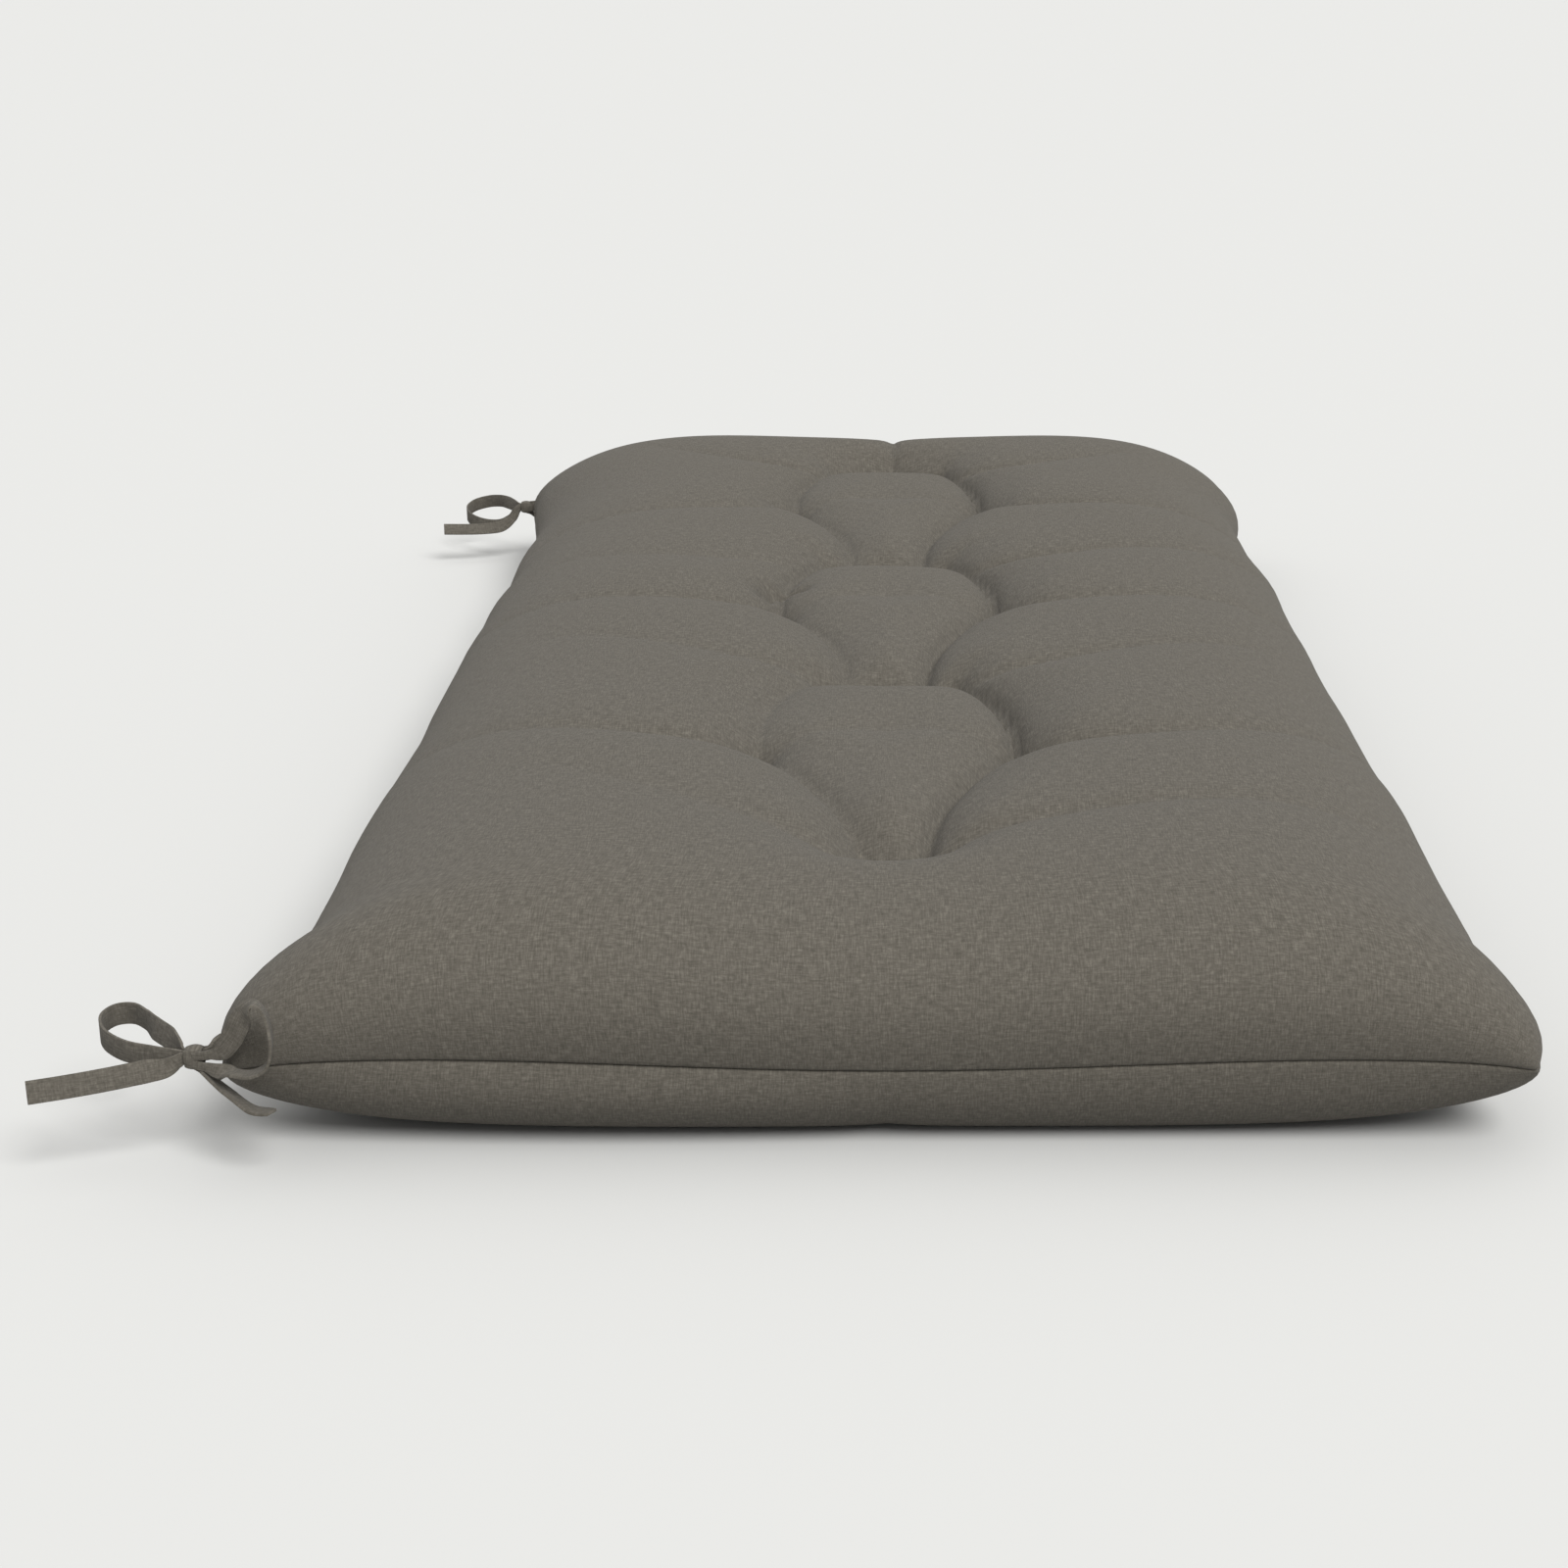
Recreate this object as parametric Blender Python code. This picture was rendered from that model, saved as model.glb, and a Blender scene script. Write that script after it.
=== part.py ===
"""Tufted bench cushion with two tied bows, lying on its back.

A filled cover of taupe linen-look cloth, 1.0 m long and 0.5 m wide, is sewn together along one
plain seam and pulled in by ten blind tufts. Two straps at each left corner are tied in a bow.
Metres, +Z up. The length runs along Y, the near end is at -Y, and the straps are at -X. The
origin is the middle of the underside, on the surface that the cushion lies on.
"""
import math

import bmesh
import bpy
from mathutils import Vector

# ---- the cushion's driving sizes -----------------------------------------------------------
LENGTH = 1.000
SEAM_HEIGHT = 0.0378      # the seam round the edge, above the surface
TOP_RISE = 0.0710         # crown of the top panel above the seam
COLUMNS = 36              # cells of a panel across the width
ROWS = 72                 # cells of a panel along the length
CROWDING_ACROSS = 0.90    # 0..1, how much the cells crowd towards the seam
CROWDING_ALONG = 0.84
SEAM_MERGE = 0.00001      # the two panels share their corners on the seam

# ---- profile of the two panels from the seam inwards ---------------------------------------
# Each is (flatness of the middle, fullness of the edge) of the profile (1 - share**flat)**full.
TOP_ACROSS = (4.5, 0.55)
TOP_ALONG = (18.0, 0.55)
UNDER_ACROSS = (4.8, 0.40)
UNDER_ALONG = (40.0, 1.00)
UNDER_FLATTENING = 0.90   # share of the underside's fullness at which it meets the surface
TOP_OVERHANG = 0.007      # how far the stuffed cloth pushes out over the seam
NEAR_CORNER_SWELL = 0.003     # further push at the near corners
NEAR_CORNER_REACH = 8
UNDER_OVERHANG = 0.0042
UNDER_LEFT_SWELL = 0.006      # further push of the underside, left of the near end's middle
OVERHANG_FADE = 12

# ---- outline -------------------------------------------------------------------------------
END_DRAW = 0.004          # the ends pull in between the corners
END_DRAW_ACROSS = 4
END_DRAW_ALONG = 6
CORNER_CUT = 0.001        # how far a rounded corner falls short of a square one
CORNER_CUT_ACROSS = 10    # how close to the corner the rounding starts; higher is closer
CORNER_CUT_ALONG = 22
SEAM_WAVE = 0.0026        # the seam rises and falls along the ends
SEAM_WAVE_LENGTH = 0.40
SEAM_CORNER_DROP = 0.003  # and drops at the near corners
SEAM_CORNER_REACH = 12

# Half widths of the seam line, drawn in along the sides and most where a fold ends.
# Each row: y, left half width, right half width.
SIDES = (
    (-0.500, 0.2508, 0.2486), (-0.485, 0.2559, 0.2514), (-0.460, 0.2522, 0.2463),
    (-0.440, 0.2397, 0.2398), (-0.415, 0.2372, 0.2388), (-0.390, 0.2370, 0.2387),
    (-0.360, 0.2374, 0.2388), (-0.320, 0.2389, 0.2396), (-0.260, 0.2389, 0.2408),
    (-0.200, 0.2368, 0.2381), (-0.160, 0.2359, 0.2381), (-0.115, 0.2373, 0.2384),
    (-0.070, 0.2378, 0.2376), (-0.030, 0.2382, 0.2378), (0.012, 0.2390, 0.2390),
    (0.060, 0.2376, 0.2382), (0.110, 0.2382, 0.2390), (0.160, 0.2344, 0.2407),
    (0.195, 0.2363, 0.2382), (0.240, 0.2374, 0.2364), (0.290, 0.2353, 0.2361),
    (0.340, 0.2378, 0.2365), (0.400, 0.2464, 0.2459), (0.450, 0.2523, 0.2447),
    (0.480, 0.2585, 0.2481), (0.500, 0.2622, 0.2491),
)

# ---- tufts: seven rows, one tuft and two tufts in turn ---------------------------------------
TUFT_PITCH = 0.128
TUFT_SHIFT = -0.003       # the middle row's place along the length
TUFT_ASIDE = 0.060        # a side tuft's distance from the centre line
CENTRE_SAG = 0.010        # the stitched middle lies lower than the sides
CENTRE_SAG_REACH = 0.085
SAG_NEAR_END = -0.50      # where the sag ends along the length
SAG_FAR_END = 0.43
SAG_FADE = 5
TUFT_PINCH = 0.009        # narrow pit at the stitch
TUFT_PINCH_REACH = 0.008
# Soft hollow round a stitch, for the seven rows from the near end: depth and reach.
TUFT_HOLLOWS = {-3: (0.019, 0.060), -2: (0.006, 0.045), -1: (0.0135, 0.060), 0: (0.006, 0.045),
                1: (0.017, 0.060), 2: (0.006, 0.045), 3: (0.024, 0.055)}
UNDER_TUFT_DEPTH = 0.014
UNDER_TUFT_REACH = 0.020
UNDER_TUFT_EDGE = 2.0     # reaches from an under tuft at which the cloth meets the surface again
DIP_FULL_AT = 0.625       # share of the crown above which pits and folds have their full depth

# ---- folds of the top panel ------------------------------------------------------------------
# Folds that run out to an edge: start, middle and end on the plan, then the depth of the soft
# valley and of the crease at its bottom, both at the start of the fold.
#     start x  start y  mid x    mid y    end x    end y    soft    crease
OUTWARD_FOLDS = (
    (-0.020, -0.390, -0.060, -0.374, -0.150, -0.325, 0.0080, 0.0015),
    (0.018, -0.388, 0.080, -0.373, 0.205, -0.362, 0.0090, 0.0060),
    (-0.060, -0.259, -0.125, -0.264, -0.228, -0.235, 0.0100, 0.0055),
    (0.060, -0.259, 0.140, -0.262, 0.230, -0.225, 0.0100, 0.0060),
    (-0.034, -0.130, -0.080, -0.127, -0.180, -0.095, 0.0080, 0.0035),
    (0.034, -0.136, 0.086, -0.136, 0.190, -0.100, 0.0090, 0.0060),
    (-0.060, -0.003, -0.120, -0.016, -0.228, 0.000, 0.0100, 0.0055),
    (0.060, -0.003, 0.125, -0.012, 0.228, 0.010, 0.0100, 0.0060),
    (-0.034, 0.116, -0.097, 0.076, -0.190, 0.090, 0.0070, 0.0015),
    (0.040, 0.100, 0.110, 0.094, 0.228, 0.140, 0.0100, 0.0065),
    (-0.060, 0.253, -0.120, 0.210, -0.220, 0.200, 0.0080, 0.0040),
    (0.060, 0.253, 0.122, 0.228, 0.228, 0.240, 0.0100, 0.0060),
    (-0.034, 0.370, -0.095, 0.362, -0.165, 0.410, 0.0080, 0.0050),
    (0.036, 0.366, 0.096, 0.352, 0.170, 0.390, 0.0090, 0.0060),
    (0.003, 0.385, 0.004, 0.440, 0.006, 0.492, 0.0030, 0.0060),
)
# Folds between the stitches: a puffed tile stands in each gap between two single stitches,
# widest at the pair between them. One row for each side of a tile, named by its near stitch: the
# depths of the valley and the crease from the pair to the near and to the far single stitch, and
# how far from the middle line each fold ends.
#    near side  soft    crease  soft    crease  neck   shoulder
TILE_SIDES = (
    (-3, -1, 0.0110, 0.0030, 0.0110, 0.0015, 0.006, 0.034),
    (-3, 1, 0.0110, 0.0070, 0.0120, 0.0095, 0.014, 0.034),
    (-1, -1, 0.0110, 0.0030, 0.0120, 0.0060, 0.020, 0.034),
    (-1, 1, 0.0110, 0.0075, 0.0120, 0.0080, 0.018, 0.034),
    (1, -1, 0.0110, 0.0035, 0.0110, 0.0050, 0.020, 0.034),
    (1, 1, 0.0110, 0.0055, 0.0120, 0.0090, 0.020, 0.036),
)
NECK_BEND = (0.031, 0.056)        # middle of a fold: from the middle line, and from the pair
SHOULDER_BEND = (0.0555, 0.057)   # and from the far single stitch
FAR_EDGE_FOLD = (0.0120, 0.0060)  # depths of the fold across a tile's far edge
RUNG_FOLD = (0.0030, 0.0008)      # and of the faint one between a pair
FOLD_REACH = 0.050        # half width of a soft valley
CREASE_REACH = 0.0060
FOLD_FADE = 0.85          # share of its depth that a fold loses on its way to an edge
FOLD_PIECES = 6           # straight pieces in which a fold's curve is followed
FOLD_BLEND = 5            # how firmly the deepest of several folds wins
UNDER_END_FOLD = 0.004    # crease of the underside at the middle of each end
UNDER_END_WIDTH = 0.012
UNDER_END_REACH = 20

# ---- straps: stitched flat tape, tied in a bow -------------------------------------------------
TAPE_THICK = 0.0011
KNOT_ALONG = 0.0066       # length of the wrap that binds the knot
KNOT_WALL = 0.0013
TAPE_STEPS = 2            # cells of tape between two rows of a table
WRAP_STEPS = 16
WRAP_SQUARENESS = 0.86    # 0 is an oval turn, 1 a square one
NEAR_KNOT = (-0.2632, -0.5030, 0.0442)
FAR_KNOT = (-0.2690, 0.5030, 0.0384)
SLOPE_START = 6.0         # millimetres from the knot at which a loop starts to fall
NEAR_RIGHT_SLOPE = 0.0    # rise of a bow's right loop, per millimetre
FAR_RIGHT_SLOPE = -0.45

STANDING = (0.0, 0.0, 1.0)       # the tape's width direction: on edge
LEANING = (0.0, 0.45, 0.89)
SLANTED = (0.0, 0.70, 0.70)
FACING = (-0.85, 0.25, 0.40)
END_ON = (-0.15, 0.95, -0.12)
TURNING = (-0.50, 0.80, 0.10)
LEVEL = (0.0, 1.0, 0.0)

# Rows are millimetres from the knot: right (+X), towards the far end (+Y), up, then the
# direction of the tape's width and the width itself.
LAYER = 1.7               # depth from one layer of tape to the next inside the knot
WRAP_LAYER = 3.4          # depth of the wrap's front and back walls
KNOT_TOP = 3.8            # height of the wrap's top wall over the middle of the knot
STEM_WIDTH = 6.2
GATHERED = 4.9            # width of the tape where it is drawn through the knot

# Both straps leave the corner on edge, side by side.
NEAR_LOOP_STEM = (
    (11.3, 7.2, 4.5, STANDING, STEM_WIDTH),
    (8.2, 4.0, 2.9, STANDING, STEM_WIDTH),
    (5.4, LAYER, 0.6, STANDING, GATHERED),
)
NEAR_WRAP_STEM = (
    (9.1, 8.2, 3.1, STANDING, STEM_WIDTH),
    (7.4, 6.0, 2.4, STANDING, STEM_WIDTH),
    (5.2, 3.6, 0.6, STANDING, GATHERED),
    (0.0, WRAP_LAYER, 0.0, STANDING, GATHERED),
)
FAR_LOOP_STEM = (
    (11.0, -2.2, 2.6, STANDING, STEM_WIDTH),
    (8.6, -0.8, 1.0, STANDING, STEM_WIDTH),
    (5.4, LAYER, 0.0, STANDING, GATHERED),
)
FAR_WRAP_STEM = (
    (7.1, -3.6, 0.2, STANDING, STEM_WIDTH),
    (5.0, -3.5, 0.0, STANDING, GATHERED),
    (0.0, -WRAP_LAYER, 0.0, STANDING, GATHERED),
)


def turned_back(right, layer, degrees):
    """One row of the half turn in which the tape doubles back inside the knot."""
    angle = math.radians(degrees)
    radius = layer / 2
    return (right + radius * math.sin(angle), -radius * (1 - math.cos(angle)), 0.0,
            STANDING, GATHERED)


INSIDE_KNOT = (
    (-3.8, 0.0, 0.0, STANDING, GATHERED),
    (1.0, 0.0, 0.0, STANDING, GATHERED),
    *(turned_back(2.0, LAYER, angle) for angle in (0, 30, 60, 90, 120, 150, 180)),
    (1.0, -LAYER, 0.0, STANDING, GATHERED),
    (-3.8, -LAYER, 0.0, STANDING, GATHERED),
)
NEAR_LOOP_STRAP = (
    (-3.8, LAYER, 0.0, STANDING, GATHERED),
    (-6.4, 4.6, 1.6, STANDING, 7.0),
    (-11.9, 11.0, 2.8, LEANING, 8.8),
    (-19.6, 19.4, 3.2, LEANING, 9.0),
    (-25.5, 28.0, 3.2, STANDING, 9.0),
    (-32.6, 35.2, 2.8, STANDING, 9.0),
    (-40.0, 35.0, 2.0, STANDING, 9.0),
    (-42.6, 26.0, 1.6, STANDING, 9.0),
    (-38.0, 14.0, 1.1, STANDING, 9.0),
    (-28.0, 4.8, 0.4, STANDING, 9.0),
    (-17.0, 1.2, 0.0, STANDING, 8.4),
    (-8.4, 0.2, -0.1, STANDING, 6.6),
    *INSIDE_KNOT,
    (-6.2, -2.7, -0.9, STANDING, 5.6),
    (-10.5, -4.6, -2.8, LEANING, 7.6),
    (-17.5, -6.8, -3.2, LEANING, 9.0),
    (-31.0, -10.8, -4.6, LEANING, 9.0),
    (-45.0, -14.6, -5.8, LEANING, 9.0),
    (-59.0, -18.0, -6.8, LEANING, 9.0),
)
FAR_LOOP_STRAP = (
    (-3.8, LAYER, 0.0, STANDING, GATHERED),
    (-6.4, 4.0, -0.4, STANDING, 6.2),
    (-10.5, 10.0, -0.8, LEANING, 8.4),
    (-16.0, 19.0, -0.8, LEANING, 9.0),
    (-23.0, 29.0, -1.6, STANDING, 9.0),
    (-33.0, 36.5, -3.6, STANDING, 9.0),
    (-43.5, 35.5, -6.4, STANDING, 9.0),
    (-48.0, 26.0, -9.4, STANDING, 9.0),
    (-43.5, 14.0, -12.4, STANDING, 9.0),
    (-32.5, 5.8, -14.6, STANDING, 9.0),
    (-20.0, 2.0, -14.0, STANDING, 8.6),
    (-11.0, 0.6, -8.6, STANDING, 7.0),
    (-7.0, 0.2, -2.6, STANDING, 5.4),
    *INSIDE_KNOT,
    (-6.6, -2.6, -1.6, STANDING, 5.2),
    (-11.0, -4.6, -8.4, LEANING, 7.0),
    (-18.5, -7.0, -13.2, LEANING, 8.6),
    (-31.0, -11.0, -14.2, SLANTED, 9.0),
    (-44.0, -14.6, -13.8, SLANTED, 9.0),
    (-59.0, -18.0, -13.0, SLANTED, 9.0),
)
WRAP_STRAP_LOOP = (
    (0.0, -WRAP_LAYER, -1.8, STANDING, 2.8),
    (5.0, -4.2, -2.4, STANDING, 3.4),
    (10.5, -6.6, -3.0, SLANTED, 5.8),
    (16.1, -9.0, -2.6, END_ON, 8.6),
    (23.4, -10.5, -2.6, END_ON, 9.0),
    (29.7, -11.0, 0.9, END_ON, 9.0),
    (32.1, -10.5, 8.0, END_ON, 9.0),
    (31.5, -9.5, 16.9, END_ON, 9.0),
    (29.6, -8.8, 22.6, END_ON, 8.6),
    (26.4, -8.4, 25.2, END_ON, 8.0),
    (23.2, -8.0, 22.8, TURNING, 8.0),
    (20.4, -7.4, 17.6, FACING, 8.6),
    (17.2, -6.8, 11.4, FACING, 8.8),
    (12.6, -5.6, 5.0, FACING, 7.2),
    (7.0, -4.2, 2.6, STANDING, 3.4),
    (0.0, -WRAP_LAYER, 1.8, STANDING, 2.8),
)
WRAP_STRAP_TAIL = (
    (0.0, 0.0, -KNOT_TOP, LEVEL, 4.0),
    (2.8, -1.2, -KNOT_TOP - 0.9, LEVEL, 4.6),
    (6.4, -3.6, -7.0, END_ON, 6.4),
    (14.2, -8.6, -11.0, END_ON, 9.0),
    (23.7, -13.4, -15.6, END_ON, 9.0),
    (32.0, -17.0, -15.2, END_ON, 6.0),
)

# ---- colours -----------------------------------------------------------------------------------
CLOTH_COLOUR = (0.195, 0.182, 0.158)
CLOTH_ROUGHNESS = 0.92
SHARP_ANGLE = 50          # degrees


def clear_scene():
    for thing in list(bpy.data.objects):
        bpy.data.objects.remove(thing, do_unlink=True)


def new_collection(name):
    collection = bpy.data.collections.new(name)
    bpy.context.scene.collection.children.link(collection)
    return collection


def cloth_material(name):
    material = bpy.data.materials.new(name)
    material.use_nodes = True
    shader = material.node_tree.nodes["Principled BSDF"]
    shader.inputs["Base Color"].default_value = (*CLOTH_COLOUR, 1.0)
    shader.inputs["Roughness"].default_value = CLOTH_ROUGHNESS
    shader.inputs["Metallic"].default_value = 0.0
    return material


def finish_object(name, bm, collection):
    """Turn a finished bmesh into a named object with its own material."""
    mesh = bpy.data.meshes.new(name)
    bm.to_mesh(mesh)
    bm.free()
    mesh.materials.append(cloth_material(name + "_cloth"))
    mesh.shade_smooth()
    mesh.set_sharp_from_angle(angle=math.radians(SHARP_ANGLE))
    thing = bpy.data.objects.new(name, mesh)
    collection.objects.link(thing)
    return thing


# ---- cushion -----------------------------------------------------------------------------------

def tuft_at(row, side):
    """Plan place of a stitch: rows run from -3 at the near end to 3; side is -1, 0 or 1."""
    return Vector((side * TUFT_ASIDE, row * TUFT_PITCH + TUFT_SHIFT))


def tuft_places():
    """Each stitch with the depth and the reach of its hollow."""
    return [(tuft_at(row, side), depth, reach)
            for row, (depth, reach) in TUFT_HOLLOWS.items()
            for side in ((0,) if row % 2 else (-1, 1))]


def curve_points(start, middle, end):
    """Points on the curved line of a fold through its start, middle and end."""
    control = middle * 2 - (start + end) / 2
    shares = [step / FOLD_PIECES for step in range(FOLD_PIECES + 1)]
    return [start * (1 - t) ** 2 + control * (2 * t * (1 - t)) + end * t ** 2 for t in shares]


def all_folds():
    """Curve, depth of the valley, depth of the crease and fade of every fold."""
    folds = [(curve_points(Vector(row[0:2]), Vector(row[2:4]), Vector(row[4:6])),
              row[6], row[7], FOLD_FADE) for row in OUTWARD_FOLDS]
    for near, side, neck_soft, neck_crease, far_soft, far_crease, neck, shoulder in TILE_SIDES:
        pair = tuft_at(near + 1, side)
        near_y, far_y = tuft_at(near, 0).y, tuft_at(near + 2, 0).y
        neck_bend = Vector((side * NECK_BEND[0], pair.y - NECK_BEND[1]))
        far_bend = Vector((side * SHOULDER_BEND[0], far_y - SHOULDER_BEND[1]))
        far_corner = Vector((side * shoulder, far_y))
        folds += [
            (curve_points(pair, neck_bend, Vector((side * neck, near_y))),
             neck_soft, neck_crease, 0.0),
            (curve_points(pair, far_bend, far_corner), far_soft, far_crease, 0.0),
            (curve_points(Vector((0.0, far_y + 0.004)), Vector((far_corner.x / 2, far_y + 0.003)),
                          far_corner), *FAR_EDGE_FOLD, 0.0),
            (curve_points(pair, Vector((side * 0.030, pair.y + 0.016)),
                          Vector((0.0, pair.y + 0.020))), *RUNG_FOLD, 0.0),
        ]
    return folds


def crowd(share, crowding):
    """Move a cell line from its even place (-1..1) towards the edge."""
    angle = crowding * math.pi / 2
    return math.sin(share * angle) / math.sin(angle)


def fullness(across, along, profile_across, profile_along):
    """Height of a stuffed panel, 1 in the middle and 0 at the seam."""
    flat_across, full_across = profile_across
    flat_along, full_along = profile_along
    return (max(0.0, 1.0 - abs(across) ** flat_across) ** full_across
            * max(0.0, 1.0 - abs(along) ** flat_along) ** full_along)


def distance_to_run(point, start, end):
    """Distance from a plan point to a straight run, and how far along the run it lies."""
    run = end - start
    along = max(0.0, min(1.0, (point - start).dot(run) / run.length_squared))
    return (point - start - run * along).length, along


def fold_dip(point, folds):
    """Depth of the folds at a plan point: soft valleys with a crease at the bottom."""
    soft_total = crease_total = 0.0
    for points, soft, crease, fading in folds:
        nearest, reached = min(
            (distance, (piece + share) / FOLD_PIECES)
            for piece, (distance, share) in enumerate(
                distance_to_run(point, points[piece], points[piece + 1])
                for piece in range(FOLD_PIECES)))
        fade = 1.0 - fading * reached
        soft_total += (soft * fade * max(0.0, 1.0 - nearest / FOLD_REACH) ** 2) ** FOLD_BLEND
        crease_total += (crease * fade * math.exp(-nearest / CREASE_REACH)) ** FOLD_BLEND
    return soft_total ** (1 / FOLD_BLEND) + crease_total ** (1 / FOLD_BLEND)


def tuft_dip(point, tufts):
    """Depth of the soft hollow and the narrow pit round the nearest stitch."""
    distances = [(point - place).length for place, depth, reach in tufts]
    hollow = max(depth * max(0.0, 1.0 - distance / reach) ** 2
                 for distance, (place, depth, reach) in zip(distances, tufts))
    return hollow + TUFT_PINCH * math.exp(-min(distances) / TUFT_PINCH_REACH)


def half_width(y, side):
    """Half width of the seam line, on a smooth curve through the rows of the table."""
    places = [row[0] for row in SIDES]
    values = [row[1 if side < 0 else 2] for row in SIDES]
    last = len(places) - 1
    index = max(0, min(last - 1, sum(place < y for place in places) - 1))
    slopes = [(values[min(i + 1, last)] - values[max(i - 1, 0)])
              / (places[min(i + 1, last)] - places[max(i - 1, 0)]) for i in (index, index + 1)]
    gap = places[index + 1] - places[index]
    t = max(0.0, min(1.0, (y - places[index]) / gap))
    return (values[index] * (1 + 2 * t) * (1 - t) ** 2 + values[index + 1] * t ** 2 * (3 - 2 * t)
            + gap * t * (1 - t) * (slopes[0] * (1 - t) - slopes[1] * t))


def plan_point(across, along):
    """Plan place of a cell corner, from its shares (-1..1) of the width and the length."""
    corner = CORNER_CUT * abs(across) ** CORNER_CUT_ACROSS * abs(along) ** CORNER_CUT_ALONG
    draw = END_DRAW * (1.0 - across ** END_DRAW_ACROSS) * abs(along) ** END_DRAW_ALONG
    y = along * (LENGTH / 2 - draw)
    x = across * half_width(y, across) - math.copysign(corner, across)
    return Vector((x, y - math.copysign(corner, along)))


def seam_height(x, across, along):
    drop = (SEAM_CORNER_DROP * abs(across) ** SEAM_CORNER_REACH
            * max(0.0, -along) ** SEAM_CORNER_REACH)
    return SEAM_HEIGHT - SEAM_WAVE * math.cos(2 * math.pi * x / SEAM_WAVE_LENGTH) - drop


def pushed_out(across, along, rise, overhang):
    """Outward push of the stuffed cloth just above or below the seam."""
    swell = overhang * math.sin(math.pi * min(1.0, rise))
    return Vector((swell * math.copysign(abs(across) ** OVERHANG_FADE, across),
                   swell * math.copysign(abs(along) ** OVERHANG_FADE, along)))


def top_point(across, along, tufts, folds):
    plan = plan_point(across, along)
    profile = fullness(across, along, TOP_ACROSS, TOP_ALONG)
    sag_end = SAG_NEAR_END if plan.y < 0 else SAG_FAR_END
    sag = CENTRE_SAG * max(0.0, 1.0 - (plan.y / sag_end) ** SAG_FADE)
    dip = sag * math.exp(-(plan.x / CENTRE_SAG_REACH) ** 2)
    dip += tuft_dip(plan, tufts) + fold_dip(plan, folds)
    rise = TOP_RISE * profile - dip * min(1.0, profile / DIP_FULL_AT)
    overhang = TOP_OVERHANG + NEAR_CORNER_SWELL * max(0.0, -along) ** NEAR_CORNER_REACH
    place = plan + pushed_out(across, along, profile, overhang)
    return Vector((place.x, place.y, seam_height(plan.x, across, along) + rise))


def under_point(across, along, tufts):
    plan = plan_point(across, along)
    profile = fullness(across, along, UNDER_ACROSS, UNDER_ALONG)
    nearest = min((plan - place).length for place, depth, reach in tufts)
    lift = UNDER_TUFT_DEPTH * (math.exp(-nearest / UNDER_TUFT_REACH)
                               - math.exp(-UNDER_TUFT_EDGE))
    end_share = abs(along) ** UNDER_END_REACH * math.exp(-abs(plan.x) / UNDER_END_WIDTH)
    lift = max(lift, UNDER_END_FOLD * end_share)
    seam = seam_height(plan.x, across, along)
    height = max(0.0, seam - seam * min(1.0, profile / UNDER_FLATTENING)
                 + max(0.0, lift) * profile)
    left_share = max(0.0, math.sin(-math.pi * across)) * max(0.0, -along) ** NEAR_CORNER_REACH
    overhang = UNDER_OVERHANG + UNDER_LEFT_SWELL * left_share
    place = plan + pushed_out(across, along, profile, overhang)
    return Vector((place.x, place.y, height))


def add_panel(bm, point_at, underside):
    """One panel of the cover: a grid of cells, each corner moved to its place."""
    grid = bmesh.ops.create_grid(bm, x_segments=COLUMNS, y_segments=ROWS, size=1.0)
    for vert in grid["verts"]:
        vert.co = point_at(crowd(vert.co.x, CROWDING_ACROSS), crowd(vert.co.y, CROWDING_ALONG))
    if underside:
        faces = {face for vert in grid["verts"] for face in vert.link_faces}
        bmesh.ops.reverse_faces(bm, faces=list(faces))


def split_corner_cells(bm):
    """Cut each corner's two cells from the corner inwards, so the panels share no other edge."""
    corners = [vert for vert in bm.verts if len(vert.link_faces) == 2]
    for corner in corners:
        for face in list(corner.link_faces):
            opposite = (list(face.verts).index(corner) + 2) % 4
            bmesh.utils.face_split(face, corner, face.verts[opposite])


def make_cushion(collection):
    tufts, folds = tuft_places(), all_folds()
    bm = bmesh.new()
    add_panel(bm, lambda across, along: top_point(across, along, tufts, folds), False)
    add_panel(bm, lambda across, along: under_point(across, along, tufts), True)
    bmesh.ops.remove_doubles(bm, verts=bm.verts, dist=SEAM_MERGE)
    split_corner_cells(bm)
    bmesh.ops.triangulate(bm, faces=bm.faces)
    return finish_object("cushion", bm, collection)


# ---- straps ------------------------------------------------------------------------------------

def smooth_rows(rows):
    """Places, width directions and widths along a tape, read from a curve through its rows."""
    stations = []
    for index in range(len(rows) - 1):
        before = rows[max(index - 1, 0)]
        start, end = rows[index], rows[index + 1]
        after = rows[min(index + 2, len(rows) - 1)]
        points = [Vector(row[0:3]) for row in (before, start, end, after)]
        for step in range(TAPE_STEPS):
            share = step / TAPE_STEPS
            place = catmull(points, share)
            across = Vector(start[3]).lerp(Vector(end[3]), share)
            stations.append((place, across, start[4] + (end[4] - start[4]) * share))
    last = rows[-1]
    stations.append((Vector(last[0:3]), Vector(last[3]), last[4]))
    return stations


def catmull(points, share):
    """A point between the second and the third of four points on a smooth curve."""
    before, start, end, after = points
    leave = (end - before) / 2
    arrive = (after - start) / 2
    return (start * (2 * share ** 3 - 3 * share ** 2 + 1)
            + leave * (share ** 3 - 2 * share ** 2 + share)
            + end * (3 * share ** 2 - 2 * share ** 3)
            + arrive * (share ** 3 - share ** 2))


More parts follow.
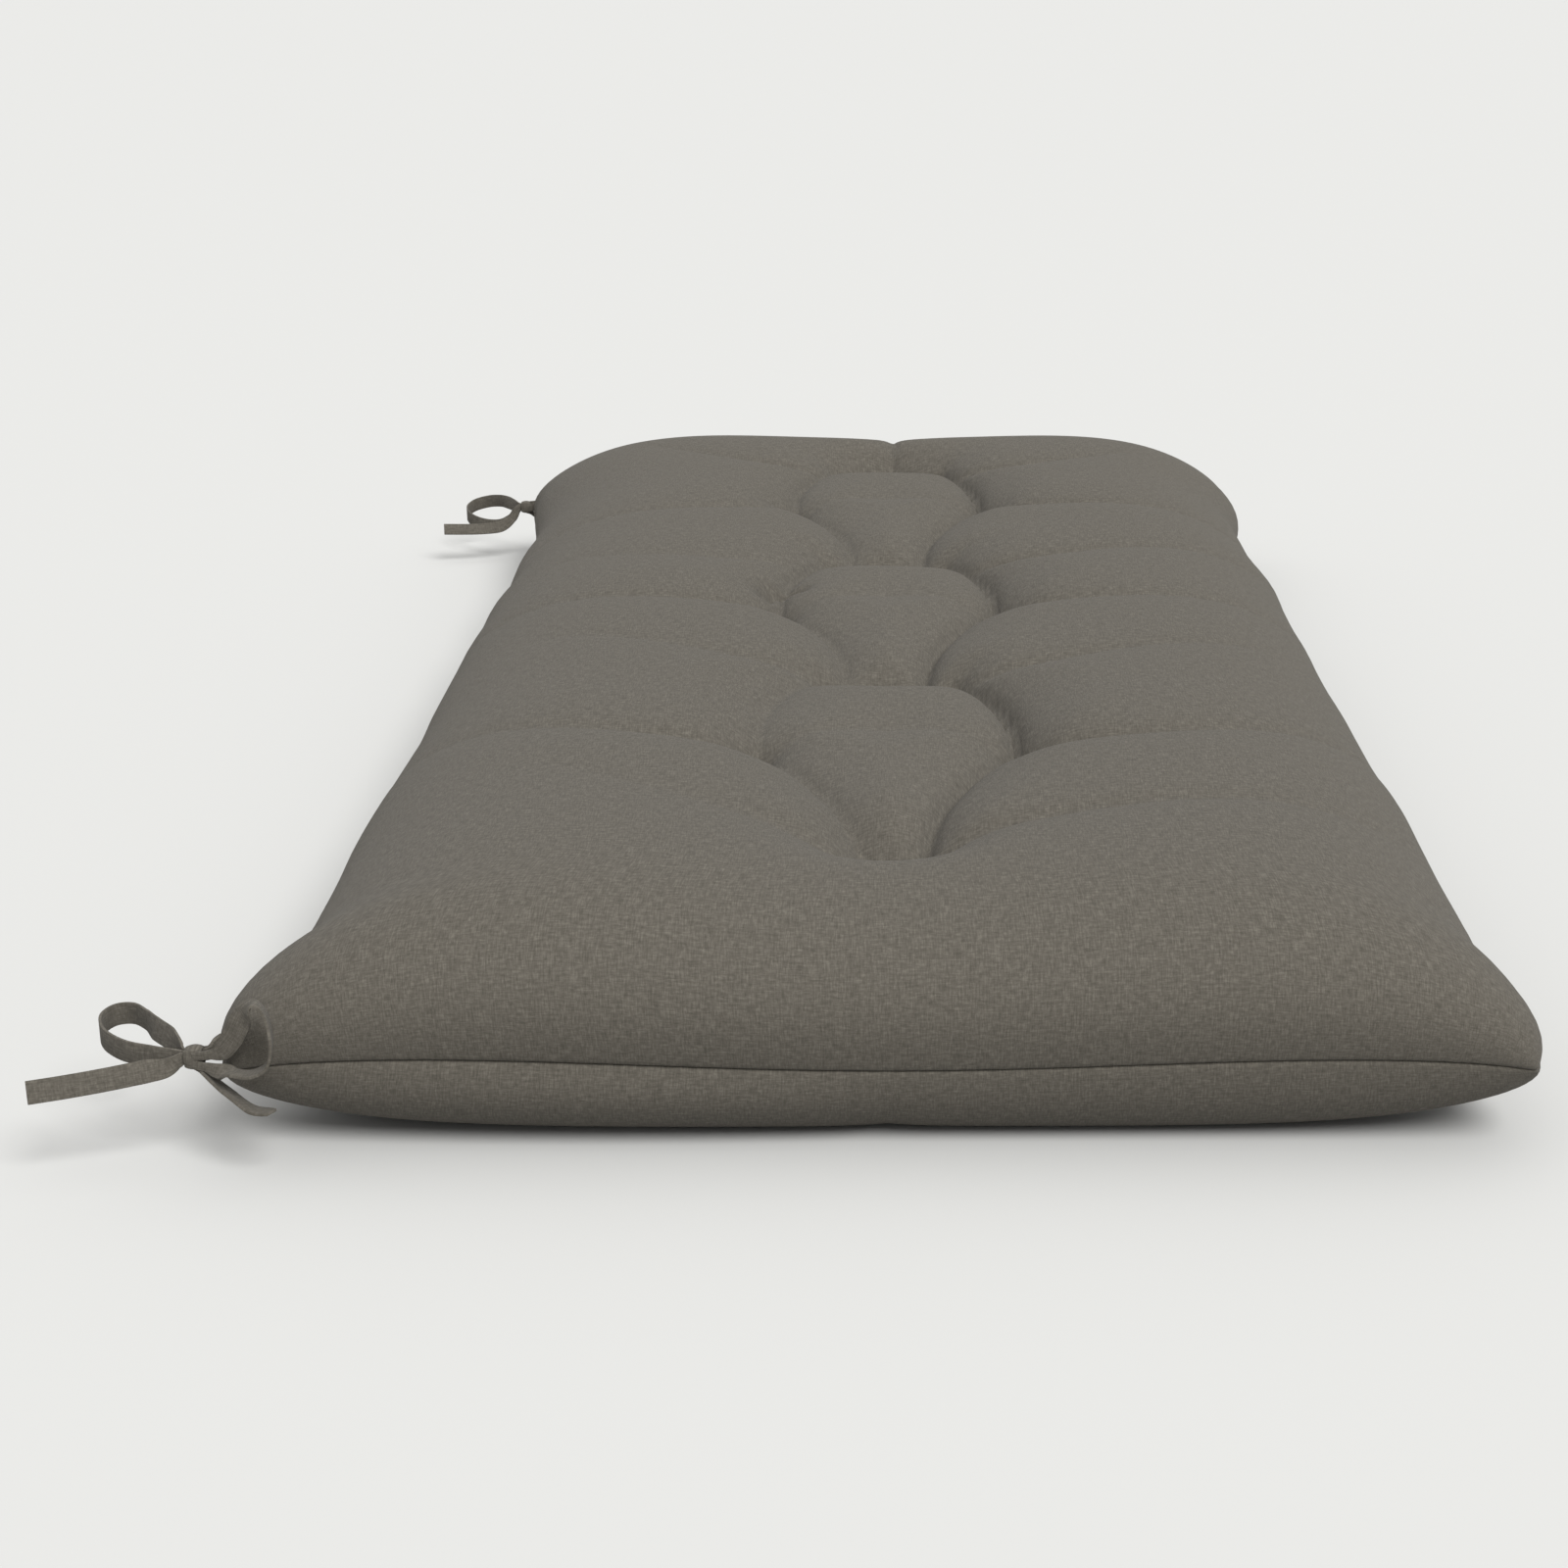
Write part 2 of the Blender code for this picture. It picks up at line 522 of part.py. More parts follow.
def add_tape(bm, rows, knot, mirror):
    """Bend a straight flat tape along its rows; mirror -1 turns it to the cushion's far end."""
    stations = smooth_rows(rows)
    cells = len(stations) - 1
    strip = bmesh.ops.create_grid(bm, x_segments=cells, y_segments=1, size=0.5)
    faces = list({face for vert in strip["verts"] for face in vert.link_faces})
    walled = bmesh.ops.solidify(bm, geom=faces, thickness=1.0)
    verts = {vert for item in walled["geom"] if isinstance(item, bmesh.types.BMFace)
             for vert in item.verts}
    verts.update(strip["verts"])
    heights = [vert.co.z for vert in verts]
    middle = (min(heights) + max(heights)) / 2
    for vert in verts:
        index = min(cells, max(0, round((vert.co.x + 0.5) * cells)))
        place, across, width = stations[index]
        ahead = stations[min(index + 1, cells)][0] - stations[max(index - 1, 0)][0]
        ahead.normalize()
        across = (across - ahead * across.dot(ahead)).normalized()
        normal = ahead.cross(across)
        side = math.copysign(width / 2, vert.co.y)
        layer = math.copysign(TAPE_THICK * 1000 / 2, vert.co.z - middle)
        local = place + across * side + normal * layer
        vert.co = knot + Vector((local.x, local.y * mirror, local.z)) / 1000


def face_outwards(bm):
    """Turn a closed mesh the right way out."""
    if bm.calc_volume(signed=True) < 0:
        bmesh.ops.reverse_faces(bm, faces=bm.faces)


def make_tape(name, rows, knot, mirror, collection):
    bm = bmesh.new()
    add_tape(bm, rows, knot, mirror)
    face_outwards(bm)
    bmesh.ops.triangulate(bm, faces=bm.faces)
    return finish_object(name, bm, collection)


def make_wrap(name, knot, collection):
    """The turn of tape that binds the knot: a short tube of squared section along X."""
    bm = bmesh.new()
    bmesh.ops.create_cone(bm, cap_ends=False, segments=WRAP_STEPS, radius1=1.0, radius2=1.0,
                          depth=1.0)
    bmesh.ops.solidify(bm, geom=bm.faces[:], thickness=0.5)
    inner_deep = WRAP_LAYER / 1000 - KNOT_WALL / 2
    inner_tall = KNOT_TOP / 1000 - KNOT_WALL / 2
    radii = [vert.co.xy.length for vert in bm.verts]
    inner_radius, wall = min(radii), max(radii) - min(radii)
    for vert in bm.verts:
        thickness = (vert.co.xy.length - inner_radius) / wall * KNOT_WALL
        angle = math.atan2(vert.co.y, vert.co.x)
        squared = max(abs(math.cos(angle)), abs(math.sin(angle))) ** -WRAP_SQUARENESS
        vert.co = knot + Vector((math.copysign(KNOT_ALONG / 2, vert.co.z),
                                 math.cos(angle) * (inner_deep + thickness) * squared,
                                 math.sin(angle) * (inner_tall + thickness) * squared))
    face_outwards(bm)
    bmesh.ops.triangulate(bm, faces=bm.faces)
    return finish_object(name, bm, collection)


def join_piece(target, piece):
    """Sew one length of the strap to the wrap: a union that leaves one body."""
    union = target.modifiers.new("join_" + piece.name, "BOOLEAN")
    union.operation = "UNION"
    union.solver = "EXACT"
    union.object = piece
    piece.hide_render = True
    piece.display_type = "WIRE"


def sloped(rows, slope):
    """The same rows, rising or falling with their distance from the knot."""
    return [(*row[0:2], row[2] + slope * max(0.0, abs(row[0]) - SLOPE_START), *row[3:])
            for row in rows]


def make_bow(end_name, mirror, shape, parts, guides):
    """Two straps tied in a bow: one makes the outer loop and tail, one binds the knot."""
    knot_place, loop_stem, loop_strap, wrap_stem, right_slope = shape
    knot = Vector(knot_place)
    make_tape(end_name + "_loop_strap", (*loop_stem, *loop_strap), knot, 1, parts)
    wrap = make_wrap(end_name + "_wrap_strap", knot, parts)
    stem = make_tape(end_name + "_wrap_stem", wrap_stem, knot, 1, guides)
    right_rows = sloped(WRAP_STRAP_LOOP, right_slope)
    loop = make_tape(end_name + "_wrap_loop", right_rows, knot, mirror, guides)
    tail = make_tape(end_name + "_wrap_tail", WRAP_STRAP_TAIL, knot, mirror, guides)
    for piece in (stem, loop, tail):
        join_piece(wrap, piece)


NEAR_BOW = (NEAR_KNOT, NEAR_LOOP_STEM, NEAR_LOOP_STRAP, NEAR_WRAP_STEM, NEAR_RIGHT_SLOPE)
FAR_BOW = (FAR_KNOT, FAR_LOOP_STEM, FAR_LOOP_STRAP, FAR_WRAP_STEM, FAR_RIGHT_SLOPE)

clear_scene()
cushion_parts = new_collection("bench_cushion")
strap_guides = new_collection("strap_guides")
make_cushion(cushion_parts)
make_bow("near", 1, NEAR_BOW, cushion_parts, strap_guides)
make_bow("far", -1, FAR_BOW, cushion_parts, strap_guides)
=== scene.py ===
"""Tufted bench cushion with two tied bows, lying on its back in a plain pale studio."""
import math

import bmesh
import bpy
import numpy as np
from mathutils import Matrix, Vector


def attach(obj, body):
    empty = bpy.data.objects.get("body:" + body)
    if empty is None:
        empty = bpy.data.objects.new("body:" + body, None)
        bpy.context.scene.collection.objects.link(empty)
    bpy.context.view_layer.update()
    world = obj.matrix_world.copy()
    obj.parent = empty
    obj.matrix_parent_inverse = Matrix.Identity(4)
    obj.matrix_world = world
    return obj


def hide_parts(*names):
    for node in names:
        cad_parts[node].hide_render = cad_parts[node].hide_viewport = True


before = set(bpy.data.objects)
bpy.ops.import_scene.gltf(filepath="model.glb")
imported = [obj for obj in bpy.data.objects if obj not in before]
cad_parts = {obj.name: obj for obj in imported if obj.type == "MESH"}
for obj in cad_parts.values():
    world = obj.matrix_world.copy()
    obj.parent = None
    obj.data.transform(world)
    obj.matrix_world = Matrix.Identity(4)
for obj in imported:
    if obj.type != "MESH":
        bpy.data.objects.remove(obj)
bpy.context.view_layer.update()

# ==== The filled cover ==========================================================================
# A top and a bottom panel of taupe linen-look plain weave, sewn together along one plain seam
# with no piping, stuffed with fibre and pulled in by ten blind tufts: seven rows of one and two
# stitches in turn, with folds that run from stitch to stitch and out to the edges.

# Sizes are metres. A place on a panel is a pair of shares from -1 to 1: across, from the left side
# to the right, and along, from the near end to the far end.
COVER_WIDTH = 0.504
COVER_LENGTH = 1.000
SEAM_HEIGHT = 0.0378      # the seam round the edge, above the floor
TOP_RISE = 0.0710         # crown of the top panel above the seam
COVER_COLUMNS = 150       # cells of a panel across the width
COVER_ROWS = 310          # and along the length
SEAM_CLOSENESS = 12.0     # how much closer the cells are at the seam
SEAM_BAND = 0.002         # rise from the seam in which most of that fades
MIDDLE_CLOSENESS = 1.0    # how much closer the columns are in the stitched middle
STITCHED_SHARE = 0.36     # share of the width that the stitched middle takes
STITCHED_FADE = 4
FINE_SHARES = np.sin(np.linspace(0.0, math.pi / 2, 4001))     # fine steps from middle to seam
SEAM_WELD = 0.00001       # the two panels share their corners on the seam

# Profile of a panel from the seam inwards, (1 - share ** flat) ** full: the flatness of its middle
# and the fullness of its edge.
TOP_ACROSS = (4.5, 0.55)
TOP_ALONG = (18.0, 0.55)
UNDER_ACROSS = (4.8, 0.40)
UNDER_ALONG = (40.0, 1.00)
UNDER_FLATTENING = 0.90   # share of the underside's fullness at which it meets the floor
TOP_OVERHANG = 0.0062     # how far the stuffed cloth pushes out over the seam
UNDER_OVERHANG = 0.0035
OVERHANG_FADE = 12        # how close to the edge that push starts; higher is closer
NEAR_CORNER_SWELL = 0.003     # further push at the near corners
NEAR_CORNER_REACH = 8
UNDER_LEFT_SWELL = 0.006      # further push of the underside, left of the near end's middle
SEAM_GROOVE = 0.0015      # the stitched seam sits this deep between the two puffed panels
SEAM_GROOVE_HEIGHT = 0.0006

END_DRAW = 0.004          # the ends pull in between the corners
END_DRAW_ACROSS = 4
END_DRAW_ALONG = 6
CORNER_CUT = 0.001        # how far a rounded corner falls short of a square one
CORNER_CUT_ACROSS = 10    # how close to the corner the rounding starts; higher is closer
CORNER_CUT_ALONG = 22
SEAM_WAVE = 0.0026        # the seam rises and falls along the ends
SEAM_WAVE_LENGTH = 0.40
SEAM_CORNER_DROP = 0.003  # and drops at the near corners
SEAM_CORNER_REACH = 12

TUFT_PITCH = 0.128        # from one row of stitches to the next, along the length
TUFT_SHIFT = -0.003       # the middle row's place along the length
TUFT_ASIDE = 0.060        # a side stitch's distance from the middle line
CENTRE_SAG = 0.010        # the stitched middle lies lower than the sides
CENTRE_SAG_REACH = 0.085
SAG_NEAR_END = -0.50      # where the sag ends along the length
SAG_FAR_END = 0.43
SAG_FADE = 5
# Soft hollow round a stitch, for the seven rows from the near end: depth and reach.
TUFT_HOLLOWS = {-3: (0.019, 0.060), -2: (0.006, 0.045), -1: (0.0135, 0.060), 0: (0.006, 0.045),
                1: (0.017, 0.060), 2: (0.006, 0.045), 3: (0.024, 0.055)}
TUFT_PINCH = 0.009        # narrow pit at the stitch itself
TUFT_PINCH_REACH = 0.008
UNDER_TUFT_DEPTH = 0.014  # the stitches lift the underside off the floor
UNDER_TUFT_REACH = 0.020
UNDER_TUFT_EDGE = 2.0     # reaches from a stitch at which the underside meets the floor again
DIP_FULL_AT = 0.625       # share of the crown above which pits and folds have their full depth
UNDER_END_FOLD = 0.004    # crease of the underside at the middle of each end
UNDER_END_WIDTH = 0.012
UNDER_END_REACH = 20


def row_sides(row):
    """Rows of one stitch and rows of two come in turn."""
    return (0,) if row % 2 else (-1, 1)


def tuft_at(row, side=0):
    """Plan place of a stitch: rows run from -3 at the near end to 3; side is -1, 0 or 1."""
    return side * TUFT_ASIDE, row * TUFT_PITCH + TUFT_SHIFT


TUFTS = [tuft_at(row, side) for row in TUFT_HOLLOWS for side in row_sides(row)]

# Folds on the plan, each through a start, a middle and an end. The depths of the soft valley and
# of the crisp crease at its bottom are those at the start of the fold.
#    start                        middle            end               soft    crease
FOLDS = [
    ((-0.020, -0.390), (-0.060, -0.374), (-0.150, -0.325), 0.0080, 0.0015),
    ((0.018, -0.388), (0.080, -0.373), (0.205, -0.362), 0.0082, 0.0060),
    (tuft_at(-2, -1), (-0.125, -0.264), (-0.228, -0.235), 0.0085, 0.0050),
    (tuft_at(-2, 1), (0.140, -0.262), (0.230, -0.225), 0.0088, 0.0060),
    ((-0.034, -0.130), (-0.080, -0.127), (-0.180, -0.095), 0.0070, 0.0032),
    ((0.034, -0.136), (0.086, -0.136), (0.190, -0.100), 0.0082, 0.0060),
    (tuft_at(0, -1), (-0.120, -0.016), (-0.228, 0.000), 0.0085, 0.0050),
    (tuft_at(0, 1), (0.125, -0.012), (0.228, 0.010), 0.0088, 0.0060),
    ((-0.034, 0.116), (-0.097, 0.076), (-0.190, 0.090), 0.0070, 0.0015),
    ((0.040, 0.100), (0.110, 0.094), (0.228, 0.140), 0.0088, 0.0065),
    (tuft_at(2, -1), (-0.120, 0.210), (-0.220, 0.200), 0.0070, 0.0036),
    (tuft_at(2, 1), (0.122, 0.228), (0.228, 0.240), 0.0088, 0.0060),
    ((-0.034, 0.370), (-0.095, 0.362), (-0.165, 0.410), 0.0072, 0.0050),
    ((0.036, 0.366), (0.096, 0.352), (0.170, 0.390), 0.0082, 0.0060),
    ((0.003, 0.385), (0.004, 0.440), (0.006, 0.492), 0.0030, 0.0060),
]
OUTWARD_FOLDS = len(FOLDS)        # these run out to an edge; those added below don't
# Folds between the stitches: a puffed tile stands in each gap between two single stitches,
# widest at the pair between them. One row for each side of a tile, named by its near stitch: the
# depths of the valley and the crease from the pair to the near and to the far single stitch, and
# how far from the middle line each fold ends.
#    near side  soft    crease  soft    crease  neck    shoulder
TILE_SIDES = [
    (-3, -1, 0.0110, 0.0030, 0.0110, 0.0015, 0.006, 0.034),
    (-3, 1, 0.0110, 0.0070, 0.0120, 0.0095, 0.014, 0.034),
    (-1, -1, 0.0110, 0.0030, 0.0120, 0.0060, 0.020, 0.034),
    (-1, 1, 0.0110, 0.0075, 0.0120, 0.0080, 0.018, 0.034),
    (1, -1, 0.0110, 0.0035, 0.0110, 0.0050, 0.020, 0.034),
    (1, 1, 0.0110, 0.0055, 0.0120, 0.0090, 0.020, 0.036),
]
NECK_BEND = (0.031, 0.056)        # middle of a fold: from the middle line, and from the pair
SHOULDER_BEND = (0.0555, 0.057)   # and from the far single stitch
FAR_EDGE_FOLD = (0.0120, 0.0060)  # depths of the fold across a tile's far edge
FAR_EDGE_BOW = (0.004, 0.003)     # how far past the stitch its start and its middle lie
RUNG_FOLD = (0.0030, 0.0008)      # depths of the faint fold between a pair
RUNG_BEND = (0.030, 0.016)        # its middle: from the middle line, and past the pair
RUNG_BOW = 0.020                  # how far past the pair it meets the middle line
for near, side, neck_soft, neck_crease, far_soft, far_crease, neck, shoulder in TILE_SIDES:
    near_y, pair_y, far_y = (tuft_at(row)[1] for row in (near, near + 1, near + 2))
    pair = tuft_at(near + 1, side)
    neck_bend = (side * NECK_BEND[0], pair_y - NECK_BEND[1])
    shoulder_bend = (side * SHOULDER_BEND[0], far_y - SHOULDER_BEND[1])
    far_corner = (side * shoulder, far_y)
    edge_start = (0.0, far_y + FAR_EDGE_BOW[0])
    edge_middle = (side * shoulder / 2, far_y + FAR_EDGE_BOW[1])
    rung_bend = (side * RUNG_BEND[0], pair_y + RUNG_BEND[1])
    FOLDS += [
        (pair, neck_bend, (side * neck, near_y), neck_soft, neck_crease),
        (pair, shoulder_bend, far_corner, far_soft, far_crease),
        (edge_start, edge_middle, far_corner, *FAR_EDGE_FOLD),
        (pair, rung_bend, (0.0, pair_y + RUNG_BOW), *RUNG_FOLD),
    ]
# a short crescent-shaped tuck behind the left stitch of the middle pair
CRESCENT_TUCK = ((-0.069, 0.026), (-0.064, 0.041), (-0.051, 0.042), 0.0010, 0.0145)
FOLDS.append(CRESCENT_TUCK)
FOLD_REACH = 0.050        # half width of a soft valley
CREASE_REACH = 0.0040
FOLD_FADE = 0.85          # share of its depth that a fold loses on its way to an edge
FOLD_PIECES = 8           # straight pieces in which a fold's curve is followed
FOLD_BLEND = 5            # how firmly the deepest of several folds wins

# Half widths of the seam line, drawn in along the sides and most where a fold ends.
#     y     left    right
SIDES = [
    (-0.500, 0.2508, 0.2486), (-0.485, 0.2559, 0.2514), (-0.460, 0.2522, 0.2463),
    (-0.440, 0.2397, 0.2398), (-0.415, 0.2372, 0.2388), (-0.390, 0.2370, 0.2387),
    (-0.360, 0.2374, 0.2388), (-0.320, 0.2389, 0.2396), (-0.260, 0.2389, 0.2408),
    (-0.200, 0.2368, 0.2381), (-0.160, 0.2359, 0.2381), (-0.115, 0.2373, 0.2384),
    (-0.070, 0.2378, 0.2376), (-0.030, 0.2382, 0.2378), (0.012, 0.2390, 0.2390),
    (0.060, 0.2376, 0.2382), (0.110, 0.2382, 0.2390), (0.160, 0.2344, 0.2407),
    (0.195, 0.2363, 0.2382), (0.240, 0.2374, 0.2364), (0.290, 0.2353, 0.2361),
    (0.340, 0.2378, 0.2365), (0.400, 0.2464, 0.2459), (0.450, 0.2523, 0.2447),
    (0.480, 0.2585, 0.2481), (0.500, 0.2622, 0.2491),
]


def smooth_between(at, places, values):
    """Values between the rows of a table, on a curve with no kinks that goes through the rows."""
    places, values = np.array(places), np.array(values)
    slopes = np.gradient(values, places)
    index = np.clip(np.searchsorted(places, at) - 1, 0, len(places) - 2)
    gap = places[index + 1] - places[index]
    t = np.clip((at - places[index]) / gap, 0.0, 1.0)
    return (values[index] * (1 + 2 * t) * (1 - t) ** 2 + values[index + 1] * t ** 2 * (3 - 2 * t)
            + gap * t * (1 - t) * (slopes[index] * (1 - t) - slopes[index + 1] * t))


def fullness(share, flat_full):
    """Height of a stuffed panel along one direction, 1 in the middle and 0 at the seam."""
    flat, full = flat_full
    return np.maximum(0.0, 1.0 - np.abs(share) ** flat) ** full


def cell_shares(cells, half_size, flat_full, middle_closeness=0.0):
    """Shares (-1..1) of the cell lines: even along the cloth, closer at seam and stitches."""
    height = TOP_RISE * fullness(FINE_SHARES, flat_full)
    step = np.hypot(np.diff(FINE_SHARES) * half_size, np.diff(height))
    weight = 1.0 + SEAM_CLOSENESS * np.exp(-height[1:] / SEAM_BAND)
    weight += middle_closeness * np.exp(-(FINE_SHARES[1:] / STITCHED_SHARE) ** STITCHED_FADE)
    count = np.concatenate([[0.0], np.cumsum(step * weight)])
    at = np.interp(np.linspace(0.0, count[-1], cells // 2 + 1), count, FINE_SHARES)
    return np.concatenate([-at[:0:-1], at])


def cloth_lengths(shares, half_size, flat_full, rise, flattening):
    """Length of cloth from the middle of a panel to each cell line."""
    height = rise * np.minimum(1.0, fullness(FINE_SHARES, flat_full) / flattening)
    step = np.hypot(np.diff(FINE_SHARES) * half_size, np.diff(height))
    cloth = np.concatenate([[0.0], np.cumsum(step)])
    return np.copysign(np.interp(np.abs(shares), FINE_SHARES, cloth), shares)


def plan_places(across, along):
    """Plan places of cell corners, with the drawn-in sides, the dents and the rounded corners."""
    corner = (CORNER_CUT * np.abs(across) ** CORNER_CUT_ACROSS
              * np.abs(along) ** CORNER_CUT_ALONG)
    draw = END_DRAW * (1.0 - across ** END_DRAW_ACROSS) * np.abs(along) ** END_DRAW_ALONG
    y = along * (COVER_LENGTH / 2 - draw)
    places, left, right = zip(*SIDES)
    half_width = np.where(across < 0, smooth_between(y, places, left),
                          smooth_between(y, places, right))
    return (across * half_width - np.copysign(corner, across),
            y - np.copysign(corner, along))


def seam_heights(x, across, along):
    """Height of the seam, which rises and falls along the ends."""
    drop = (SEAM_CORNER_DROP * np.abs(across) ** SEAM_CORNER_REACH
            * np.maximum(0.0, -along) ** SEAM_CORNER_REACH)
    return SEAM_HEIGHT - SEAM_WAVE * np.cos(2 * math.pi * x / SEAM_WAVE_LENGTH) - drop


def run_distance(x, y, start, end):
    """Distance from plan places to a straight run, and the share of the run reached there."""
    run_x, run_y = end[0] - start[0], end[1] - start[1]
    share = ((x - start[0]) * run_x + (y - start[1]) * run_y) / (run_x ** 2 + run_y ** 2)
    share = np.clip(share, 0.0, 1.0)
    return np.hypot(x - start[0] - run_x * share, y - start[1] - run_y * share), share


def fold_dips(x, y):
    """Depth of all the folds at plan places: soft valleys with a crisp crease at the bottom."""
    soft_total, crease_total = np.zeros_like(x), np.zeros_like(x)
    for number, (start, middle, end, soft, crease) in enumerate(FOLDS):
        start, middle, end = np.array(start), np.array(middle), np.array(end)
        control = 2 * middle - (start + end) / 2
        stations = [start * (1 - t) ** 2 + control * 2 * t * (1 - t) + end * t ** 2
                    for t in np.linspace(0.0, 1.0, FOLD_PIECES + 1)]
        nearest = np.full_like(x, np.inf)
        reached = np.zeros_like(x)
        for piece in range(FOLD_PIECES):
            distance, share = run_distance(x, y, stations[piece], stations[piece + 1])
            closer = distance < nearest
            nearest = np.where(closer, distance, nearest)
            reached = np.where(closer, (piece + share) / FOLD_PIECES, reached)
        fade = 1.0 - FOLD_FADE * reached * (number < OUTWARD_FOLDS)
        valley = np.maximum(0.0, 1.0 - nearest / FOLD_REACH) ** 2
        soft_total += (soft * fade * valley) ** FOLD_BLEND
        crease_total += (crease * fade * np.exp(-nearest / CREASE_REACH)) ** FOLD_BLEND
    return soft_total ** (1.0 / FOLD_BLEND) + crease_total ** (1.0 / FOLD_BLEND)


def tuft_distance(x, y):
    """Distance from plan places to the nearest stitch."""
    return np.min([np.hypot(x - tuft[0], y - tuft[1]) for tuft in TUFTS], axis=0)


def tuft_dips(x, y):
    """Depth of the soft hollow and the narrow pit round the nearest stitch."""
    hollow = np.zeros_like(x)
    for row, (depth, reach) in TUFT_HOLLOWS.items():
        for side in row_sides(row):
            stitch_x, stitch_y = tuft_at(row, side)
            distance = np.hypot(x - stitch_x, y - stitch_y)
            hollow = np.maximum(hollow, depth * np.maximum(0.0, 1.0 - distance / reach) ** 2)
    return hollow + TUFT_PINCH * np.exp(-tuft_distance(x, y) / TUFT_PINCH_REACH)


def pushed_out(across, along, rise, height, overhang):
    """Outward push of the stuffed cloth beside the seam, over the groove of the seam itself."""
    swell = overhang * np.sin(math.pi * np.minimum(1.0, rise))
    swell += SEAM_GROOVE * (1.0 - np.exp(-height / SEAM_GROOVE_HEIGHT))
    return (swell * np.copysign(np.abs(across) ** OVERHANG_FADE, across),
            swell * np.copysign(np.abs(along) ** OVERHANG_FADE, along))


def top_places(across, along):
    """Places of the top panel: its crown, less the sag, the pits and the folds."""
    x, y = plan_places(across, along)
    rise = fullness(across, TOP_ACROSS) * fullness(along, TOP_ALONG)
    sag_end = np.where(y < 0, SAG_NEAR_END, SAG_FAR_END)
    sag = CENTRE_SAG * np.maximum(0.0, 1.0 - (y / sag_end) ** SAG_FADE)
    dip = sag * np.exp(-(x / CENTRE_SAG_REACH) ** 2) + tuft_dips(x, y) + fold_dips(x, y)
    height = TOP_RISE * rise - dip * np.minimum(1.0, rise / DIP_FULL_AT)
    overhang = TOP_OVERHANG + NEAR_CORNER_SWELL * np.maximum(0.0, -along) ** NEAR_CORNER_REACH
    push_x, push_y = pushed_out(across, along, rise, TOP_RISE * rise, overhang)
    return np.stack([x + push_x, y + push_y, seam_heights(x, across, along) + height], axis=1)


def under_places(across, along):
    """Places of the underside: flat on the floor, lifted at the stitches, creased at the ends."""
    x, y = plan_places(across, along)
    rise = fullness(across, UNDER_ACROSS) * fullness(along, UNDER_ALONG)
    lift = UNDER_TUFT_DEPTH * np.exp(-tuft_distance(x, y) / UNDER_TUFT_REACH)
    lift -= UNDER_TUFT_DEPTH * math.exp(-UNDER_TUFT_EDGE)
    end_fold = np.abs(along) ** UNDER_END_REACH * np.exp(-np.abs(x) / UNDER_END_WIDTH)
    lift = np.maximum(lift, UNDER_END_FOLD * end_fold)
    seam = seam_heights(x, across, along)
    drop = seam * np.minimum(1.0, rise / UNDER_FLATTENING)
    z = np.maximum(0.0, seam - drop + np.maximum(0.0, lift) * rise)
    left = (np.maximum(0.0, np.sin(-math.pi * across))
            * np.maximum(0.0, -along) ** NEAR_CORNER_REACH)
    overhang = UNDER_OVERHANG + UNDER_LEFT_SWELL * left
    push_x, push_y = pushed_out(across, along, rise, drop, overhang)
    return np.stack([x + push_x, y + push_y, z], axis=1)


def sew_panel(bm, place_at, cut_across, cut_along, underside):
    """One panel of the cover: a grid of cells moved to its place, with its flat cloth as UVs."""
    grid = bmesh.ops.create_grid(bm, x_segments=COVER_COLUMNS, y_segments=COVER_ROWS, size=1.0)
    verts = grid["verts"]
    even = np.array([vert.co[:2] for vert in verts])
    shares_x = cell_shares(COVER_COLUMNS, COVER_WIDTH / 2, TOP_ACROSS, MIDDLE_CLOSENESS)
    shares_y = cell_shares(COVER_ROWS, COVER_LENGTH / 2, TOP_ALONG)
    cloth_x = cloth_lengths(shares_x, COVER_WIDTH / 2, *cut_across)
    cloth_y = cloth_lengths(shares_y, COVER_LENGTH / 2, *cut_along)
    column = np.rint((even[:, 0] + 1) / 2 * COVER_COLUMNS).astype(int)
    row = np.rint((even[:, 1] + 1) / 2 * COVER_ROWS).astype(int)
    places = place_at(shares_x[column], shares_y[row])
    uv_of = {}
    for vert, place, u, v in zip(verts, places, cloth_x[column], cloth_y[row]):
        vert.co = place
        uv_of[vert] = (u, v)
    faces = [face for face in bm.faces if face.verts[0] in uv_of]
    uv_layer = bm.loops.layers.uv.verify()
    for face in faces:
        for loop in face.loops:
            loop[uv_layer].uv = uv_of[loop.vert]
    if underside:
        bmesh.ops.reverse_faces(bm, faces=faces)


def linear_colour(hex_code):
    """An sRGB hex colour as linear red, green, blue and alpha."""
    channels = [int(hex_code[i:i + 2], 16) / 255 for i in (1, 3, 5)]
    return [c / 12.92 if c <= 0.04045 else ((c + 0.055) / 1.055) ** 2.4 for c in channels] + [1.0]


def add_node(tree, kind, settings=None, **inputs):
    """Add a node with its settings; an input is a value or another node's output."""
    node = tree.nodes.new(kind)
    for name, value in (settings or {}).items():
        setattr(node, name, value)
    for name, value in inputs.items():
        socket = node.inputs[int(name[1:])] if name[0] == "n" and name[1:].isdigit() else (
            node.inputs[name.replace("_", " ")])
        if isinstance(value, bpy.types.NodeSocket):
            tree.links.new(value, socket)
        else:
            socket.default_value = value
    return node


# Polyester linen-look plain weave, melange: light and dark fibres are mixed in each yarn, so the
# cloth shows short dashes along both yarn directions on an even, fully matt taupe ground.
YARN_MM = 0.46            # yarn spacing; the real yarn is finer, drawn as coarse as it shows
DASH_MM = 2.6             # length of a lighter or darker stretch of one yarn
